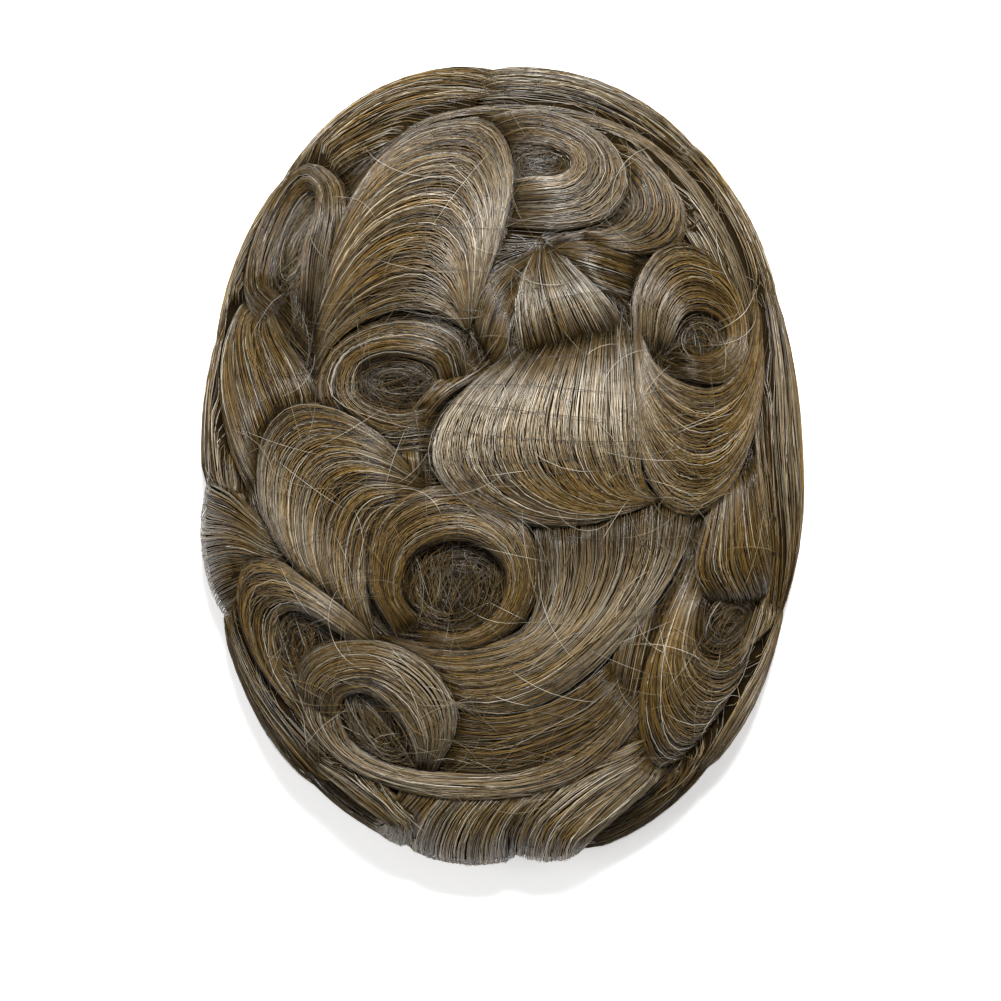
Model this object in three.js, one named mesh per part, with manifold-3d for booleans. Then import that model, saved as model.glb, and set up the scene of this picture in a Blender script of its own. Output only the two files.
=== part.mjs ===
// A men's hairpiece: a thin domed base with combed locks of hair laid over it.
// Millimetres, +Z up. The origin is under the middle of the piece, on the surface it rests on.
// -Y is the front hairline, +Y the crown, and the base's rim stands on z = 0.
import * as THREE from 'three';
import Module from 'manifold-3d';

const wasm = await Module();
wasm.setup();

// Driving sizes of the base that the hair is tied to.
const BASE_WIDTH = 155;
const BASE_LENGTH = 220;
const BASE_HEIGHT = 51;
const BASE_WALL = 1.2;

// Hair over the base: the combed-down underlayer, then the locks that stand on it.
const BED_DEPTH = 8.2;
const LOCK_DEPTH = 14;
const CLEARANCE = 0.3;

// The hair is widest at WIDEST_LEVEL. Below it the locks turn in by TUCK and end at LOCK_FOOT.
const WIDEST_LEVEL = 16;
const TUCK = 5;
const LOCK_FOOT = 1.5;
const BED_FOOT = 3;

// Plan outline: an ellipse a little fuller than a true one.
const PLAN_FULLNESS = 2.2;

// Hair stands up over the middle and leans out to level at the outline: the higher, the later.
const LEAN_ONSET = 4;

// How far past the outline, as a share of the half sizes, a lock reaches its foot.
const WRAP_SHARE = 0.14;

// Facets: sectors round the piece, rings up the dome, and the size of a lock's cells.
const SECTORS = 28;
const DOME_RINGS = 5;
const CELLS_PER_ROW = 1.4;
const CELLS_ACROSS = 4;
const FACET_TOLERANCE = 0.19;

// Rounding of a lock from edge to edge: steep sides and a broad crown.
const SIDE_STEEPNESS = 0.6;
const CROWN_BREADTH = 2.2;

// Share of a lock's way over which the direction of its root or tip is taken.
const END_STEP = 0.01;

// Worked out from the driving sizes.
const HAIR_DEPTH = CLEARANCE + BED_DEPTH + LOCK_DEPTH;
const HALF_WIDTH = BASE_WIDTH / 2 + HAIR_DEPTH;
const HALF_LENGTH = BASE_LENGTH / 2 + HAIR_DEPTH;
const HAIR_TOP = BASE_HEIGHT + HAIR_DEPTH;
const BELOW_FLOOR = LOCK_DEPTH;
const LOCK_ROOT = BED_DEPTH / 4;

const GREY_BROWN = { color: 0x5c4a33, roughness: 0.5, metalness: 0 };
const DARK_BROWN = { color: 0x2e2416, roughness: 0.6, metalness: 0 };
const SKIN_FILM = { color: 0xc9ae92, roughness: 0.45, metalness: 0 };

// Locks from the uppermost down: each is laid over all that follow it.
// lift is the height of a lock's edges over the bed, as hundredths of LOCK_DEPTH.
// A row crosses the lock once, from root to tip:
// ax, ay and bx, by are its two edges, as hundredths of HALF_WIDTH and HALF_LENGTH;
// rise is the height of the crown there, as hundredths of LOCK_DEPTH;
// bow, where given, moves the row's middle to the left of the way from a to b.
const LOCKS = [
  { name: 'central_roll', lift: 42, rows: [
    [38, 33, 43, 30, 46], [22, 30, 37, 25, 74], [0, 23, 33, 21, 94], [-15, 15, 31, 16, 100],
    [-22, 5, 30.5, 11, 100], [-22, -3, 32, 5, 98], [-12, -9, 35, 0, 92], [6, -14.5, 39, -4, 84],
    [26, -15, 44, -7, 72], [46, -10.5, 51, -8.5, 46]] },
  { name: 'right_arch_curl', lift: 40, rows: [
    [43, 30, 55, 30, 50], [43, 42, 57.5, 34.5, 80], [50, 52, 61, 37.5, 95], [60, 55, 66, 38, 100],
    [71, 51, 71, 36.5, 96], [79, 43, 74, 34, 88], [82, 33, 74.5, 31, 78], [80, 25, 71, 28, 68],
    [72, 20, 66, 26.5, 56], [62, 21, 60, 27, 44]] },
  { name: 'right_arcs', lift: 36, rows: [
    [45, 33, 43, 28, 56], [49, 25, 43, 12, 84], [57, 20.5, 46, -1, 98], [68, 18.5, 54, -11, 100],
    [77, 22, 66, -12, 96], [83, 30, 77, -4, 84], [86, 40, 85, 10, 66], [87, 48, 89, 24, 46]] },
  { name: 'front_ring_curl', lift: 34, rows: [
    [-36, -40, -28, -37, 60], [-43, -29, -32.5, -32, 85], [-40, -14, -29.5, -23, 98],
    [-28, -6.5, -20, -19, 100], [-10, -5.5, -9, -19, 98], [6, -13, 0, -24, 92],
    [12, -26, 1.5, -31, 85], [7, -38, -4, -38, 76], [-8, -45, -14, -41.5, 66],
    [-24, -45, -22, -40.5, 50]] },
  { name: 'crown_left_wave', lift: 34, rows: [
    [-8, 38, -12, 33, 46], [0, 56, -17, 36, 76], [4, 74, -23, 37.5, 95], [-4, 86, -30, 38, 100],
    [-22, 86, -38, 37, 100], [-38, 79, -47, 34, 92], [-49, 67, -55, 29, 74],
    [-55, 56, -61, 22, 46]] },
  { name: 'front_left_ring', lift: 32, rows: [
    [-21, -75, -28, -74, 42], [-15, -66, -29, -69, 75], [-16, -56, -33, -63, 92],
    [-26, -47, -39, -58.5, 98], [-41, -43, -45, -56, 95], [-56, -44, -51, -57, 88],
    [-66, -49, -54, -60, 76], [-69, -57, -55, -64, 55]] },
  { name: 'front_band_low', lift: 34, rows: [
    [-69, -56, -55, -60, 44], [-65, -66, -52, -68, 60], [-54, -75, -44, -73, 68],
    [-38, -80.5, -32, -76, 68], [-18, -83.5, -15, -76.5, 68], [5, -83, 4, -76, 68],
    [24, -79, 20, -72, 68], [37, -71, 33, -65, 62], [45, -63, 41, -58, 44]] },
  { name: 'hook_curl', lift: 30, rows: [
    [-42, -41, -46, -45, 42], [-51, -35, -54, -41, 80], [-62, -29, -62, -37, 98],
    [-74, -23.5, -70, -36, 100], [-86, -24, -75, -40, 96], [-90, -33, -75.5, -46, 90],
    [-87, -44, -73, -53, 78], [-79, -55, -67, -60, 62], [-70, -63, -60, -66, 42]] },
  { name: 'front_band_high', lift: 30, rows: [
    [62, -10, 10, -13, 46], [59, -22, 12, -26, 66], [50, -34, 11, -35, 80], [36, -46, 7, -40, 86],
    [20, -56, 0, -42.5, 86], [2, -61.5, -12, -44, 84], [-14, -60, -24, -44, 76],
    [-28, -52, -36, -42, 50]] },
  { name: 'left_wave', lift: 28, rows: [
    [-29, -1, -25, -8, 42], [-40, 8, -34, -10, 78], [-56, 14.5, -40, -13, 96],
    [-70, 14.5, -43, -18, 100], [-79, 7, -44, -24, 100], [-81, -4, -44, -31, 94],
    [-78, -15, -42, -38, 80], [-66, -27, -40, -44, 52]] },
  { name: 'temple_curl', lift: 28, rows: [
    [-57, 38, -66, 43, 46], [-53, 50, -66, 54, 70], [-51, 62, -63, 62, 84],
    [-55, 72, -62, 67.5, 86], [-66, 77, -67, 69.5, 84], [-77, 69, -72, 63, 80],
    [-86, 56, -77, 54, 76], [-89, 43, -79, 46, 66], [-80, 35, -74, 42, 46]] },
  { name: 'crown_right_curl', lift: 28, rows: [
    [-4, 88, 2, 80, 50], [8, 90, 9, 80, 80], [22, 87.5, 16, 79, 94], [36, 81, 22, 76.5, 98],
    [42, 71, 22.5, 73, 94], [35, 61, 17, 71, 86], [20, 57.5, 10, 71, 78], [5, 58, 4, 70, 50]] },
  { name: 'crest_hook', lift: 24, rows: [
    [28, 83, 22, 79, 50], [44, 79, 35, 76, 85], [56, 72, 42, 69, 98], [62, 63, 43, 63, 92],
    [59, 55, 39, 59.5, 80], [47, 51.5, 33, 57.5, 66], [34, 53, 26, 57, 40]] },
  { name: 'crest_sweep', lift: 24, rows: [
    [-44, 76, -42, 71, 40], [-27, 87.5, -26, 81, 52], [-8, 91, -9, 84, 58], [14, 91.5, 12, 84, 64],
    [34, 88, 30, 80, 76], [50, 82, 43, 75, 88], [64, 73, 55, 65, 92], [75, 62, 64, 54, 86],
    [83, 49, 72, 45, 74], [88, 34, 79, 32, 60], [90, 20, 83, 20, 42]] },
  { name: 'eye_curl', lift: 24, rows: [
    [-10, 22, -20, 20.5, 45], [-14, 31, -22, 24, 66], [-26, 35, -29, 26, 76], [-42, 34, -38, 26.5, 78],
    [-55, 28, -46, 24, 74], [-60, 18, -47.5, 18, 68], [-54, 9, -42, 14.5, 62],
    [-40, 3, -33, 13, 56], [-26, 3, -24, 14.5, 44]] },
  { name: 'roll_root_tuft', lift: 24, rows: [
    [-5, 22, -12, 26, 44], [-18, 16, -25, 17, 60], [-26, 7, -33, 8, 60], [-26, -3, -34, 0, 40]] },
  { name: 'roll_eye', lift: 16, rows: [
    [33, 28, 43, 30, 38], [30, 20, 43, 20, 48], [30, 11, 43, 11, 50], [34, 3, 44, 3, 44],
    [40, -4, 45, -5, 34]] },
  { name: 'right_side_fall', lift: 62, rows: [
    [101, 44, 86, 40, 84], [107, 28, 85, 25, 88], [110, 10, 84, 9, 92], [112, -6, 86, -6, 98],
    [112, -20, 89, -20, 98], [108, -37, 90, -35, 88]] },
  { name: 'right_drop', lift: 20, rows: [
    [69, -6, 87, 0, 50], [65, -17, 90, -12, 78], [62, -26, 94, -23, 88], [67, -33, 96, -33, 52]] },
  { name: 'lower_right_scallop', lift: 22, rows: [
    [60, -26, 68, -27, 50], [52, -39, 64, -37, 82], [46, -52, 64, -45, 96], [45, -65, 70, -49, 96],
    [50, -75, 79, -49, 84], [58, -79, 90, -43, 52]] },
  { name: 'left_side_fall', lift: 20, rows: [
    [-92, 43, -77, 39, 48], [-96, 31, -71, 31, 74], [-97, 18, -64, 24, 88], [-94, 5, -60, 16, 80],
    [-86, -6, -66, 4, 48]] },
  { name: 'left_edge_roll', lift: 62, rows: [
    [-112, -7, -112, -36, 80], [-103, -4, -104, -39, 98], [-92, -3, -95, -39, 100],
    [-80, -6, -84, -32, 64]] },
  { name: 'top_left_rim', lift: 56, rows: [
    [-80, 74, -58, 73, 84], [-74, 84, -50, 77, 90], [-60, 94, -43, 79, 97],
    [-42, 102, -36, 81, 100], [-24, 106, -28, 83, 98], [-9, 106, -20, 85, 92],
    [-2, 104, -10, 87, 84]] },
  { name: 'left_bottom_rim', lift: 62, rows: [
    [-108, -36, -90, -32, 84], [-103, -46, -84, -42, 88], [-94, -60, -76, -55, 90],
    [-84, -73, -65, -65, 90], [-76, -82, -57, -72, 86]] },
  { name: 'front_left_pin_curl', lift: 58, rows: [
    [-74, -69, -68, -75, 84], [-58, -72, -58, -79, 88], [-44, -77, -48, -85, 95],
    [-34, -85, -40, -89.5, 92], [-29, -95, -40, -91.5, 88], [-39, -106, -46, -92, 88],
    [-58, -100, -55, -87, 86], [-77, -86, -64, -80, 82]] },
  { name: 'front_rim_right', lift: 54, rows: [
    [42, -70, 57, -77, 60], [27, -74, 47, -84, 84], [14, -80, 37, -91, 95], [5, -88, 31, -96, 95],
    [2, -98, 30, -101, 92], [5, -109, 30, -108, 62]] },
  { name: 'front_rim_left', lift: 54, rows: [
    [-28, -82, 17, -80, 56], [-32, -88, 7, -86, 80], [-33, -94, 3, -92, 94],
    [-30, -101, 4, -100, 92], [-26, -109, 3, -109, 62]] },
  { name: 'front_right_roll', lift: 58, rows: [
    [71, -85, 58, -79, 84], [62, -92, 54, -85, 86], [49, -100, 45, -90, 88],
    [36, -106, 34, -94, 88], [22, -109, 24, -96, 80]] },
  { name: 'lower_right_edge', lift: 60, rows: [
    [106, -34, 90, -34, 86], [99, -48, 84, -46, 90], [90, -62, 76, -55, 94], [81, -75, 67, -66, 92],
    [73, -86, 60, -78, 86]] },
  { name: 'left_rim_upper', lift: 60, rows: [
    [-106, 33, -90, 36, 84], [-102, 51, -85, 49, 90], [-93, 67, -77, 61, 90],
    [-80, 82, -66, 72, 86]] },
  { name: 'left_edge_sliver', lift: 60, rows: [
    [-108, 34, -92, 35, 84], [-111, 18, -93, 18, 92], [-111, 3, -92, 3, 92],
    [-108, -8, -90, -8, 84]] },
  { name: 'top_right_rim', lift: 56, rows: [
    [-8, 107, -6, 90, 84], [10, 107, 9, 90, 90], [30, 104, 27, 88, 92], [49, 98, 43, 82, 92],
    [67, 88, 56, 75, 88]] },
  { name: 'right_rim_upper', lift: 60, rows: [
    [66, 89, 56, 75, 88], [79, 78, 67, 67, 90], [90, 62, 76, 55, 90], [98, 46, 82, 42, 86],
    [103, 30, 84, 26, 84]] },
  { name: 'whorl_front_fan', lift: 12, rows: [
    [8, 52, 19, 52, 40], [5, 45, 25, 47, 56], [4, 37, 34, 41, 64], [6, 27, 41, 33, 40]] },
  { name: 'whorl_right_fan', lift: 12, rows: [
    [18, 58, 20, 48, 36], [30, 58, 29, 46, 56], [44, 56, 42, 43, 40]] },
  { name: 'whorl_left_fan', lift: 12, rows: [
    [8, 52, 7, 45, 36], [-1, 47, 4, 36, 54], [-7, 41, 2, 28, 56], [-9, 33, -2, 24, 36]] },
  { name: 'under_sweep', lift: 12, rows: [
    [43, -58, 34, -49, 42], [34, -67, 24, -55, 58], [21, -73, 9, -59, 62], [3, -78, -4, -60, 58],
    [-16, -79, -16, -58, 42]] },
  { name: 'gap_tuft', lift: 12, rows: [
    [51, -33, 40, -38, 38], [47, -46, 36, -48, 56], [43, -60, 35, -58, 38]] },
];

// Reach of a plan point: 1 on the outline, less inside it.
function planReach(x, y) {
  const sum = Math.abs(x) ** PLAN_FULLNESS + Math.abs(y) ** PLAN_FULLNESS;
  return sum ** (1 / PLAN_FULLNESS);
}

// Turns a plan point, in hundredths, into the angles of the rounded surface laid out flat,
// so that a line between two points runs round the edge of the hair without a kink.
function unroll(xHundredths, yHundredths) {
  const x = xHundredths / 100;
  const y = yHundredths / 100;
  const reach = planReach(x, y);
  const overEdge = (reach - 1) / WRAP_SHARE;
  const angle = reach < 1 ? Math.asin(reach) : Math.PI / 2 * (1 + overEdge);
  return new THREE.Vector2(x, y).multiplyScalar(reach > 0 ? angle / reach : 0);
}

// A point of the hair at an unrolled place, with its height over the bed.
function hairPoint(place, height) {
  const depth = LOCK_DEPTH - height;
  const angle = Math.min(planReach(place.x, place.y), Math.PI);
  const alongX = angle > 0 ? place.x / planReach(place.x, place.y) : 0;
  const alongY = angle > 0 ? place.y / planReach(place.x, place.y) : 0;
  const past = Math.max(angle - Math.PI / 2, 0);
  const outward = past > 0 ? 1 : Math.sin(angle);
  const inset = depth * outward ** LEAN_ONSET + TUCK * (1 - Math.cos(past));
  const upper = (HAIR_TOP - WIDEST_LEVEL - depth) * Math.cos(angle);
  const lower = (LOCK_FOOT - WIDEST_LEVEL) * Math.sin(past);
  return new THREE.Vector3(
    (HALF_WIDTH * outward - inset) * alongX,
    (HALF_LENGTH * outward - inset) * alongY,
    WIDEST_LEVEL + (past > 0 ? lower : upper));
}

// Direction round the outline for a sector number, on the outline's own curve.
function sectorDirection(sector) {
  const turn = sector / SECTORS * Math.PI * 2;
  const power = 2 / PLAN_FULLNESS;
  const x = Math.sign(Math.cos(turn)) * Math.abs(Math.cos(turn)) ** power;
  const y = Math.sign(Math.sin(turn)) * Math.abs(Math.sin(turn)) ** power;
  return new THREE.Vector2(x, y);
}

// A closed solid from points and triangles, turned to face out.
function solidFrom(points, triangles) {
  const volume = triangles.reduce((sum, [a, b, c]) =>
    sum + points[a].dot(new THREE.Vector3().crossVectors(points[b], points[c])), 0);
  const facing = volume < 0 ? triangles.map(([a, b, c]) => [a, c, b]) : triangles;
  const vertProperties = new Float32Array(points.flatMap((point) => point.toArray()));
  const triVerts = new Uint32Array(facing.flat());
  return new wasm.Manifold(new wasm.Mesh({ numProp: 3, vertProperties, triVerts }));
}

// A filled dome from rings of points, the lowest first, closed by a flat foot and an apex.
function filledDome(rings, apex) {
  const points = rings.flat();
  const foot = points.push(new THREE.Vector3(0, 0, rings[0][0].z)) - 1;
  const top = points.push(apex) - 1;
  const last = (rings.length - 1) * SECTORS;
  const triangles = [];
  for (let i = 0; i < SECTORS; i++) {
    const next = (i + 1) % SECTORS;
    triangles.push([foot, next, i], [top, last + i, last + next]);
    for (let ring = 0; ring < last; ring += SECTORS) {
      triangles.push([ring + i, ring + next, ring + SECTORS + i]);
      triangles.push([ring + next, ring + SECTORS + next, ring + SECTORS + i]);
    }
  }
  return solidFrom(points, triangles);
}

function sectorRing(pointAt) {
  return Array.from({ length: SECTORS }, (_, sector) => pointAt(sectorDirection(sector)));
}

// The dome of the base, grown or shrunk by margin. A foot below zero makes a cutter of it.
function baseDome(margin, footLevel) {
  const halfWidth = BASE_WIDTH / 2 + margin;
  const halfLength = BASE_LENGTH / 2 + margin;
  const height = BASE_HEIGHT + margin;
  const ringAt = (angle, level) => sectorRing((direction) => new THREE.Vector3(
    halfWidth * Math.sin(angle) * direction.x,
    halfLength * Math.sin(angle) * direction.y,
    level));
  const rings = footLevel < 0 ? [ringAt(Math.PI / 2, footLevel)] : [];
  for (let step = DOME_RINGS; step > 0; step--) {
    const angle = Math.PI / 2 * step / DOME_RINGS;
    rings.push(ringAt(angle, step === DOME_RINGS ? 0 : height * Math.cos(angle)));
  }
  return filledDome(rings, new THREE.Vector3(0, 0, height));
}

// The dome that the locks stand on, at a height over the bed, down to footLevel.
function bedDome(height, footLevel) {
  const lowestAngle = Math.PI / 2 + Math.asin((WIDEST_LEVEL - BED_FOOT) / (WIDEST_LEVEL - LOCK_FOOT));
  const angles = [lowestAngle, (lowestAngle + Math.PI / 2) / 2];
  for (let step = DOME_RINGS; step > 0; step--) {
    angles.push(Math.PI / 2 * step / DOME_RINGS);
  }
  const rings = angles.map((angle) => sectorRing((direction) =>
    hairPoint(direction.multiplyScalar(angle), height)));
  if (footLevel < BED_FOOT) {
    rings.unshift(rings[0].map((point) => new THREE.Vector3(point.x, point.y, footLevel)));
  }
  return filledDome(rings, hairPoint(new THREE.Vector2(), height));
}

// The edges, crown height and bow of a lock at a share of its way from root to tip.
function lockSection(lock) {
  const through = (vectors) => new THREE.CatmullRomCurve3(vectors, false, 'catmullrom', 0.5);
  const edge = (x, y) => through(lock.rows.map((row) => {
    const place = unroll(row[x], row[y]);
    return new THREE.Vector3(place.x, place.y, 0);
  }));
  const edgeA = edge(0, 1);
  const edgeB = edge(2, 3);
  const shape = through(lock.rows.map(([, , , , rise, bow = 0]) => new THREE.Vector3(rise, bow, 0)));
  return (way) => {
    const { x: rise, y: bow } = shape.getPoint(way);
    return { a: edgeA.getPoint(way), b: edgeB.getPoint(way), rise: rise / 100, bow: bow / 100 };
  };
}

// Height of a lock over the bed, rounded from edge to edge.
function archHeight(lift, rise, across) {
  const fromMiddle = Math.abs(2 * across - 1);
  const roundness = (1 - fromMiddle ** CROWN_BREADTH) ** SIDE_STEEPNESS;
  return LOCK_DEPTH * (lift + (rise - lift) * roundness);
}

// How far a row's middle is moved, as a share of its bow: nothing at the edges.
function bowShare(across) {
  return 4 * across * (1 - across);
}

// A grid of points over a lock at the height that heightAt gives, widened by margin.
function lockGrid(lock, margin, heightAt) {
  const sectionAt = lockSection(lock);
  const cellsAlong = Math.round((lock.rows.length - 1) * CELLS_PER_ROW);
  const widen = margin / HALF_WIDTH;
  return Array.from({ length: cellsAlong + 1 }, (_, along) => {
    const way = along / cellsAlong;
    const { a, b, rise, bow } = sectionAt(way);
    const side = b.clone().sub(a);
    const bowed = new THREE.Vector3(-side.y, side.x, 0).setLength(bow);
    side.setLength(widen);
    const push = endward(sectionAt, way).multiplyScalar(widen);
    const from = a.clone().sub(side).add(push);
    const to = b.clone().add(side).add(push);
    return Array.from({ length: CELLS_ACROSS + 1 }, (_, cell) => {
      const across = cell / CELLS_ACROSS;
      const place = from.clone().lerp(to, across).addScaledVector(bowed, bowShare(across));
      return hairPoint(place, heightAt(rise, across));
    });
  });
}

// The way out of a lock at its root or tip, as a unit vector, and nothing in between.
function endward(sectionAt, way) {
  if (way > 0 && way < 1) {
    return new THREE.Vector3();
  }
  const here = sectionAt(way);
  const inside = sectionAt(way === 0 ? END_STEP : 1 - END_STEP);
  return here.a.add(here.b).sub(inside.a).sub(inside.b).normalize();
}

// Whether the first of two triangle pairs over four points encloses more than the second.
function enclosesMore([p, q, underQ, underP]) {
  const across = new THREE.Vector3().crossVectors(underQ.clone().sub(p), underP.clone().sub(p));
  return q.clone().sub(p).dot(across) > 0;
}

// A closed solid between two grids of a lock, one above the other. Its walls are twisted, so
// each is folded to bulge out, or in, and a cutter's walls stay outside those of its lock.
function betweenGrids(upper, lower, bulge) {
  const points = [...upper.flat(), ...lower.flat()];
  const stride = upper[0].length;
  const lastRow = (upper.length - 1) * stride;
  const under = upper.length * stride;
  const triangles = [];
  const along = points[stride].clone().sub(points[0]);
  const across = points[1].clone().sub(points[0]);
  const mirrored = along.cross(across).dot(points[0].clone().sub(points[under])) < 0;
  const wall = (p, q) => {
    const more = enclosesMore([p, q, under + q, under + p].map((index) => points[index]));
    const folded = (more !== mirrored) === bulge;
    const pairs = folded
      ? [[p, q, under + p], [q, under + q, under + p]]
      : [[p, q, under + q], [p, under + q, under + p]];
    triangles.push(...pairs);
  };
  for (let row = 0; row < lastRow; row += stride) {
    for (let p = row; p < row + stride - 1; p++) {
      triangles.push([p, p + stride, p + 1], [p + 1, p + stride, p + stride + 1]);
      triangles.push([under + p, under + p + 1, under + p + stride]);
      triangles.push([under + p + 1, under + p + stride + 1, under + p + stride]);
    }
    wall(row + stride, row);
    wall(row + stride - 1, row + 2 * stride - 1);
  }
  for (let cell = 0; cell < stride - 1; cell++) {
    wall(cell, cell + 1);
    wall(lastRow + cell + 1, lastRow + cell);
  }
  return solidFrom(points, triangles);
}

// The whole lock, before the bed and the locks over it are cut away.
function wholeLock(lock) {
  const lift = lock.lift / 100;
  const upper = lockGrid(lock, 0, (rise, across) => archHeight(Math.min(lift, rise), rise, across));
  const lower = lockGrid(lock, 0, () => -LOCK_ROOT);
  return betweenGrids(upper, lower, false);
}

// Everything over and under a lock, a gap wider than it all round, to cut the locks below.
function lockCutter(lock) {
  const upper = lockGrid(lock, CLEARANCE, () => LOCK_DEPTH + LOCK_ROOT);
  const lower = lockGrid(lock, CLEARANCE, () => -LOCK_ROOT);
  return betweenGrids(upper, lower, true);
}

function largestBody(solid) {
  const bodies = solid.decompose();
  return bodies.reduce((best, body) => (body.volume() > best.volume() ? body : best));
}

function meshOf(name, solid, look) {
  const { numProp, vertProperties, triVerts } = solid.getMesh();
  const geometry = new THREE.BufferGeometry();
  const position = new THREE.BufferAttribute(vertProperties.slice(), numProp);
  geometry.setAttribute('position', position);
  geometry.setIndex(new THREE.BufferAttribute(triVerts.slice(), 1));
  geometry.computeVertexNormals();
  const mesh = new THREE.Mesh(geometry, new THREE.MeshStandardMaterial(look));
  mesh.name = name;
  return mesh;
}

function makeBase() {
  const outside = baseDome(0, 0);
  const inside = baseDome(-BASE_WALL, -BELOW_FLOOR);
  return meshOf('base_cap', outside.subtract(inside), SKIN_FILM);
}

function makeBed() {
  const outside = bedDome(0, BED_FOOT);
  const inside = baseDome(CLEARANCE, -BELOW_FLOOR);
  return meshOf('hair_bed', outside.subtract(inside), DARK_BROWN);
}

// Each lock gives way to the bed below it and to every lock laid over it.
function makeLocks() {
  let taken = bedDome(CLEARANCE, -BELOW_FLOOR);
  return LOCKS.map((lock) => {
    const left = largestBody(wholeLock(lock).subtract(taken));
    taken = taken.add(lockCutter(lock));
    return meshOf(lock.name, left.simplify(FACET_TOLERANCE), GREY_BROWN);
  });
}

const hairpiece = new THREE.Group();
hairpiece.add(makeBase(), makeBed(), ...makeLocks());

export default hairpiece;
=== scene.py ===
"""A men's hairpiece: combed locks of grey-brown hair over a thin domed base, seen from above."""
import math

import bpy
import numpy as np
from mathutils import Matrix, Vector


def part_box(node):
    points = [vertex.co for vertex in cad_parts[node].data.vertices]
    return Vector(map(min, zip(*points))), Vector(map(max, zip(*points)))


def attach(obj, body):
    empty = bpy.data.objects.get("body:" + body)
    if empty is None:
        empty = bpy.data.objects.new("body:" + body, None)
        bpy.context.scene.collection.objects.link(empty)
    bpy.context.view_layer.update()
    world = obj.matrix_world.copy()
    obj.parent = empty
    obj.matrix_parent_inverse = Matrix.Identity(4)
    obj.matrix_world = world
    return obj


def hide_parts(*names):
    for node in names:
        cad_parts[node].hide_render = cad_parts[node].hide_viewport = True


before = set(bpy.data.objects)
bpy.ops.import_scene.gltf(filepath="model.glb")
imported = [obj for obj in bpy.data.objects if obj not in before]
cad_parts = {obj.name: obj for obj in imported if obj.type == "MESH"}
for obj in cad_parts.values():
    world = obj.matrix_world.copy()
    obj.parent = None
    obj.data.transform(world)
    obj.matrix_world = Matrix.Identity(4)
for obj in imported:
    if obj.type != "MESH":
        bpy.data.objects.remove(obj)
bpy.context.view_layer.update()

MM = 0.001

# Sizes of the rounded form, as in the solids, except that hair starts to lean out lower down.
LOCK_DEPTH = 14 * MM
WIDEST_LEVEL = 16 * MM
TUCK = 5 * MM
LOCK_FOOT = 1.5 * MM
BED_FOOT = 3 * MM
CLEARANCE = 0.3 * MM
PLAN_FULLNESS = 2.2
WRAP_SHARE = 0.14
LEAN_ONSET = 9
FILM_THICKNESS = 1.2 * MM

# Strands of hair. Each is sampled at SAMPLES places before it gets its segments.
STRAND_RADIUS = 0.115 * MM
STRAND_SPACING = 0.14 * MM
WALL_DENSITY = 0.8
SAMPLES = 61
SEGMENT_LENGTH = 13 * MM
SEGMENT_TURN = 0.48
FEWEST_SEGMENTS = 4
MOST_SEGMENTS = 24
SHORTEST_RUN = 5 * MM
STRAY_SHARE = 0.07
STRAY_REACH = 0.06

# Tresses inside a lock: widths of the broad and fine ones, the depths in millimetres of the
# grooves between them, and how far and over what length they drift.
BROAD_TRESS = 7 * MM
FINE_TRESS = 2.2 * MM
BROAD_GROOVE = 0.3
FINE_GROOVE = 0.22
TRESS_DRIFT = 0.8 * MM
DRIFT_LENGTH = 60 * MM

# Profile of a lock from edge to edge.
CROWN_BREADTH = 2.2
SIDE_STEEPNESS = 0.6
CORE_SINK = 1.5 * MM
CORE_CELL = 4 * MM
CORE_SIDES = 14

# Hairs run on past a lock's root and tip by a share of its way, and sink by a share there.
# The locks round the rim, which stand on high side walls, run on further and sink less. They
# keep the share RIM_HOLD of their height where a lock lies on them near the outline.
END_REACH = 0.08
END_SINK = 0.8
RIM_LIFT = 54
RIM_REACH = 0.17
RIM_SINK = 0.1
RIM_HOLD = 0.92
HOLD_START = 1.2
HOLD_SPAN = 0.2

# The map of the unrolled surface that says which lock lies on top.
MAP_REACH = 3.05
MAP_CELLS = 720
CREVICE_SLOPE = 5
CREVICE_CELLS = 3
HIDDEN_CELLS = 4

# Linear colours of the hairs, with their usual shares.
DARK_BROWN = (0.022, 0.0125, 0.0042)
MID_BROWN = (0.112, 0.064, 0.0120)
GOLDEN_BROWN = (0.236, 0.138, 0.029)
GREY = (0.228, 0.184, 0.112)
WHITE = (0.56, 0.51, 0.41)
PALETTE = np.array([DARK_BROWN, MID_BROWN, GOLDEN_BROWN, GREY, WHITE])
BROWN_SHARES = np.array([0.30, 0.38, 0.32])
GREY_SHARES = np.array([0.75, 0.25])
USUAL_GREY = 0.15
# The hair under the strands and locks, darker than any hair: painted shade in the gaps and
# crevices.
CORE_PAINTED_SHADE_COLOUR = (0.014, 0.009, 0.004)
# Painted highlight: the pale colour mixed into hairs in the bands of painted sheen across some
# locks.
PAINTED_HIGHLIGHT_COLOUR = (0.76, 0.67, 0.52)
FILM_COLOUR = (0.55, 0.38, 0.27)

# Painted shade: lightness of the lowest hairs as a share of the uppermost ones', so that hairs
# lying low are darker.
LIGHTNESS_IN_PAINTED_SHADE = 0.34

# The colour's alpha says whether a surface has a sheen.
MATT, GLOSSY = 0, 1

# The left part of the bake map is for the surfaces, and the rest has a column for each strand.
SURFACE_STRIP = 0.2
COLUMN_GAP = 0.12
COLUMNS_A_ROW = 260

# Low hairs beside the locks, and bed hairs combed from the crown whorl outwards. FOOT_REACH is
# how far down the side they may lie, as an angle of the rounded form.
SKIRT_WIDTH = 8 * MM
SKIRT_SPACING = 0.34 * MM
BED_HAIRS = 1100
WHORL = (14, 51)
FOOT_REACH = math.pi * 0.92

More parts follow.
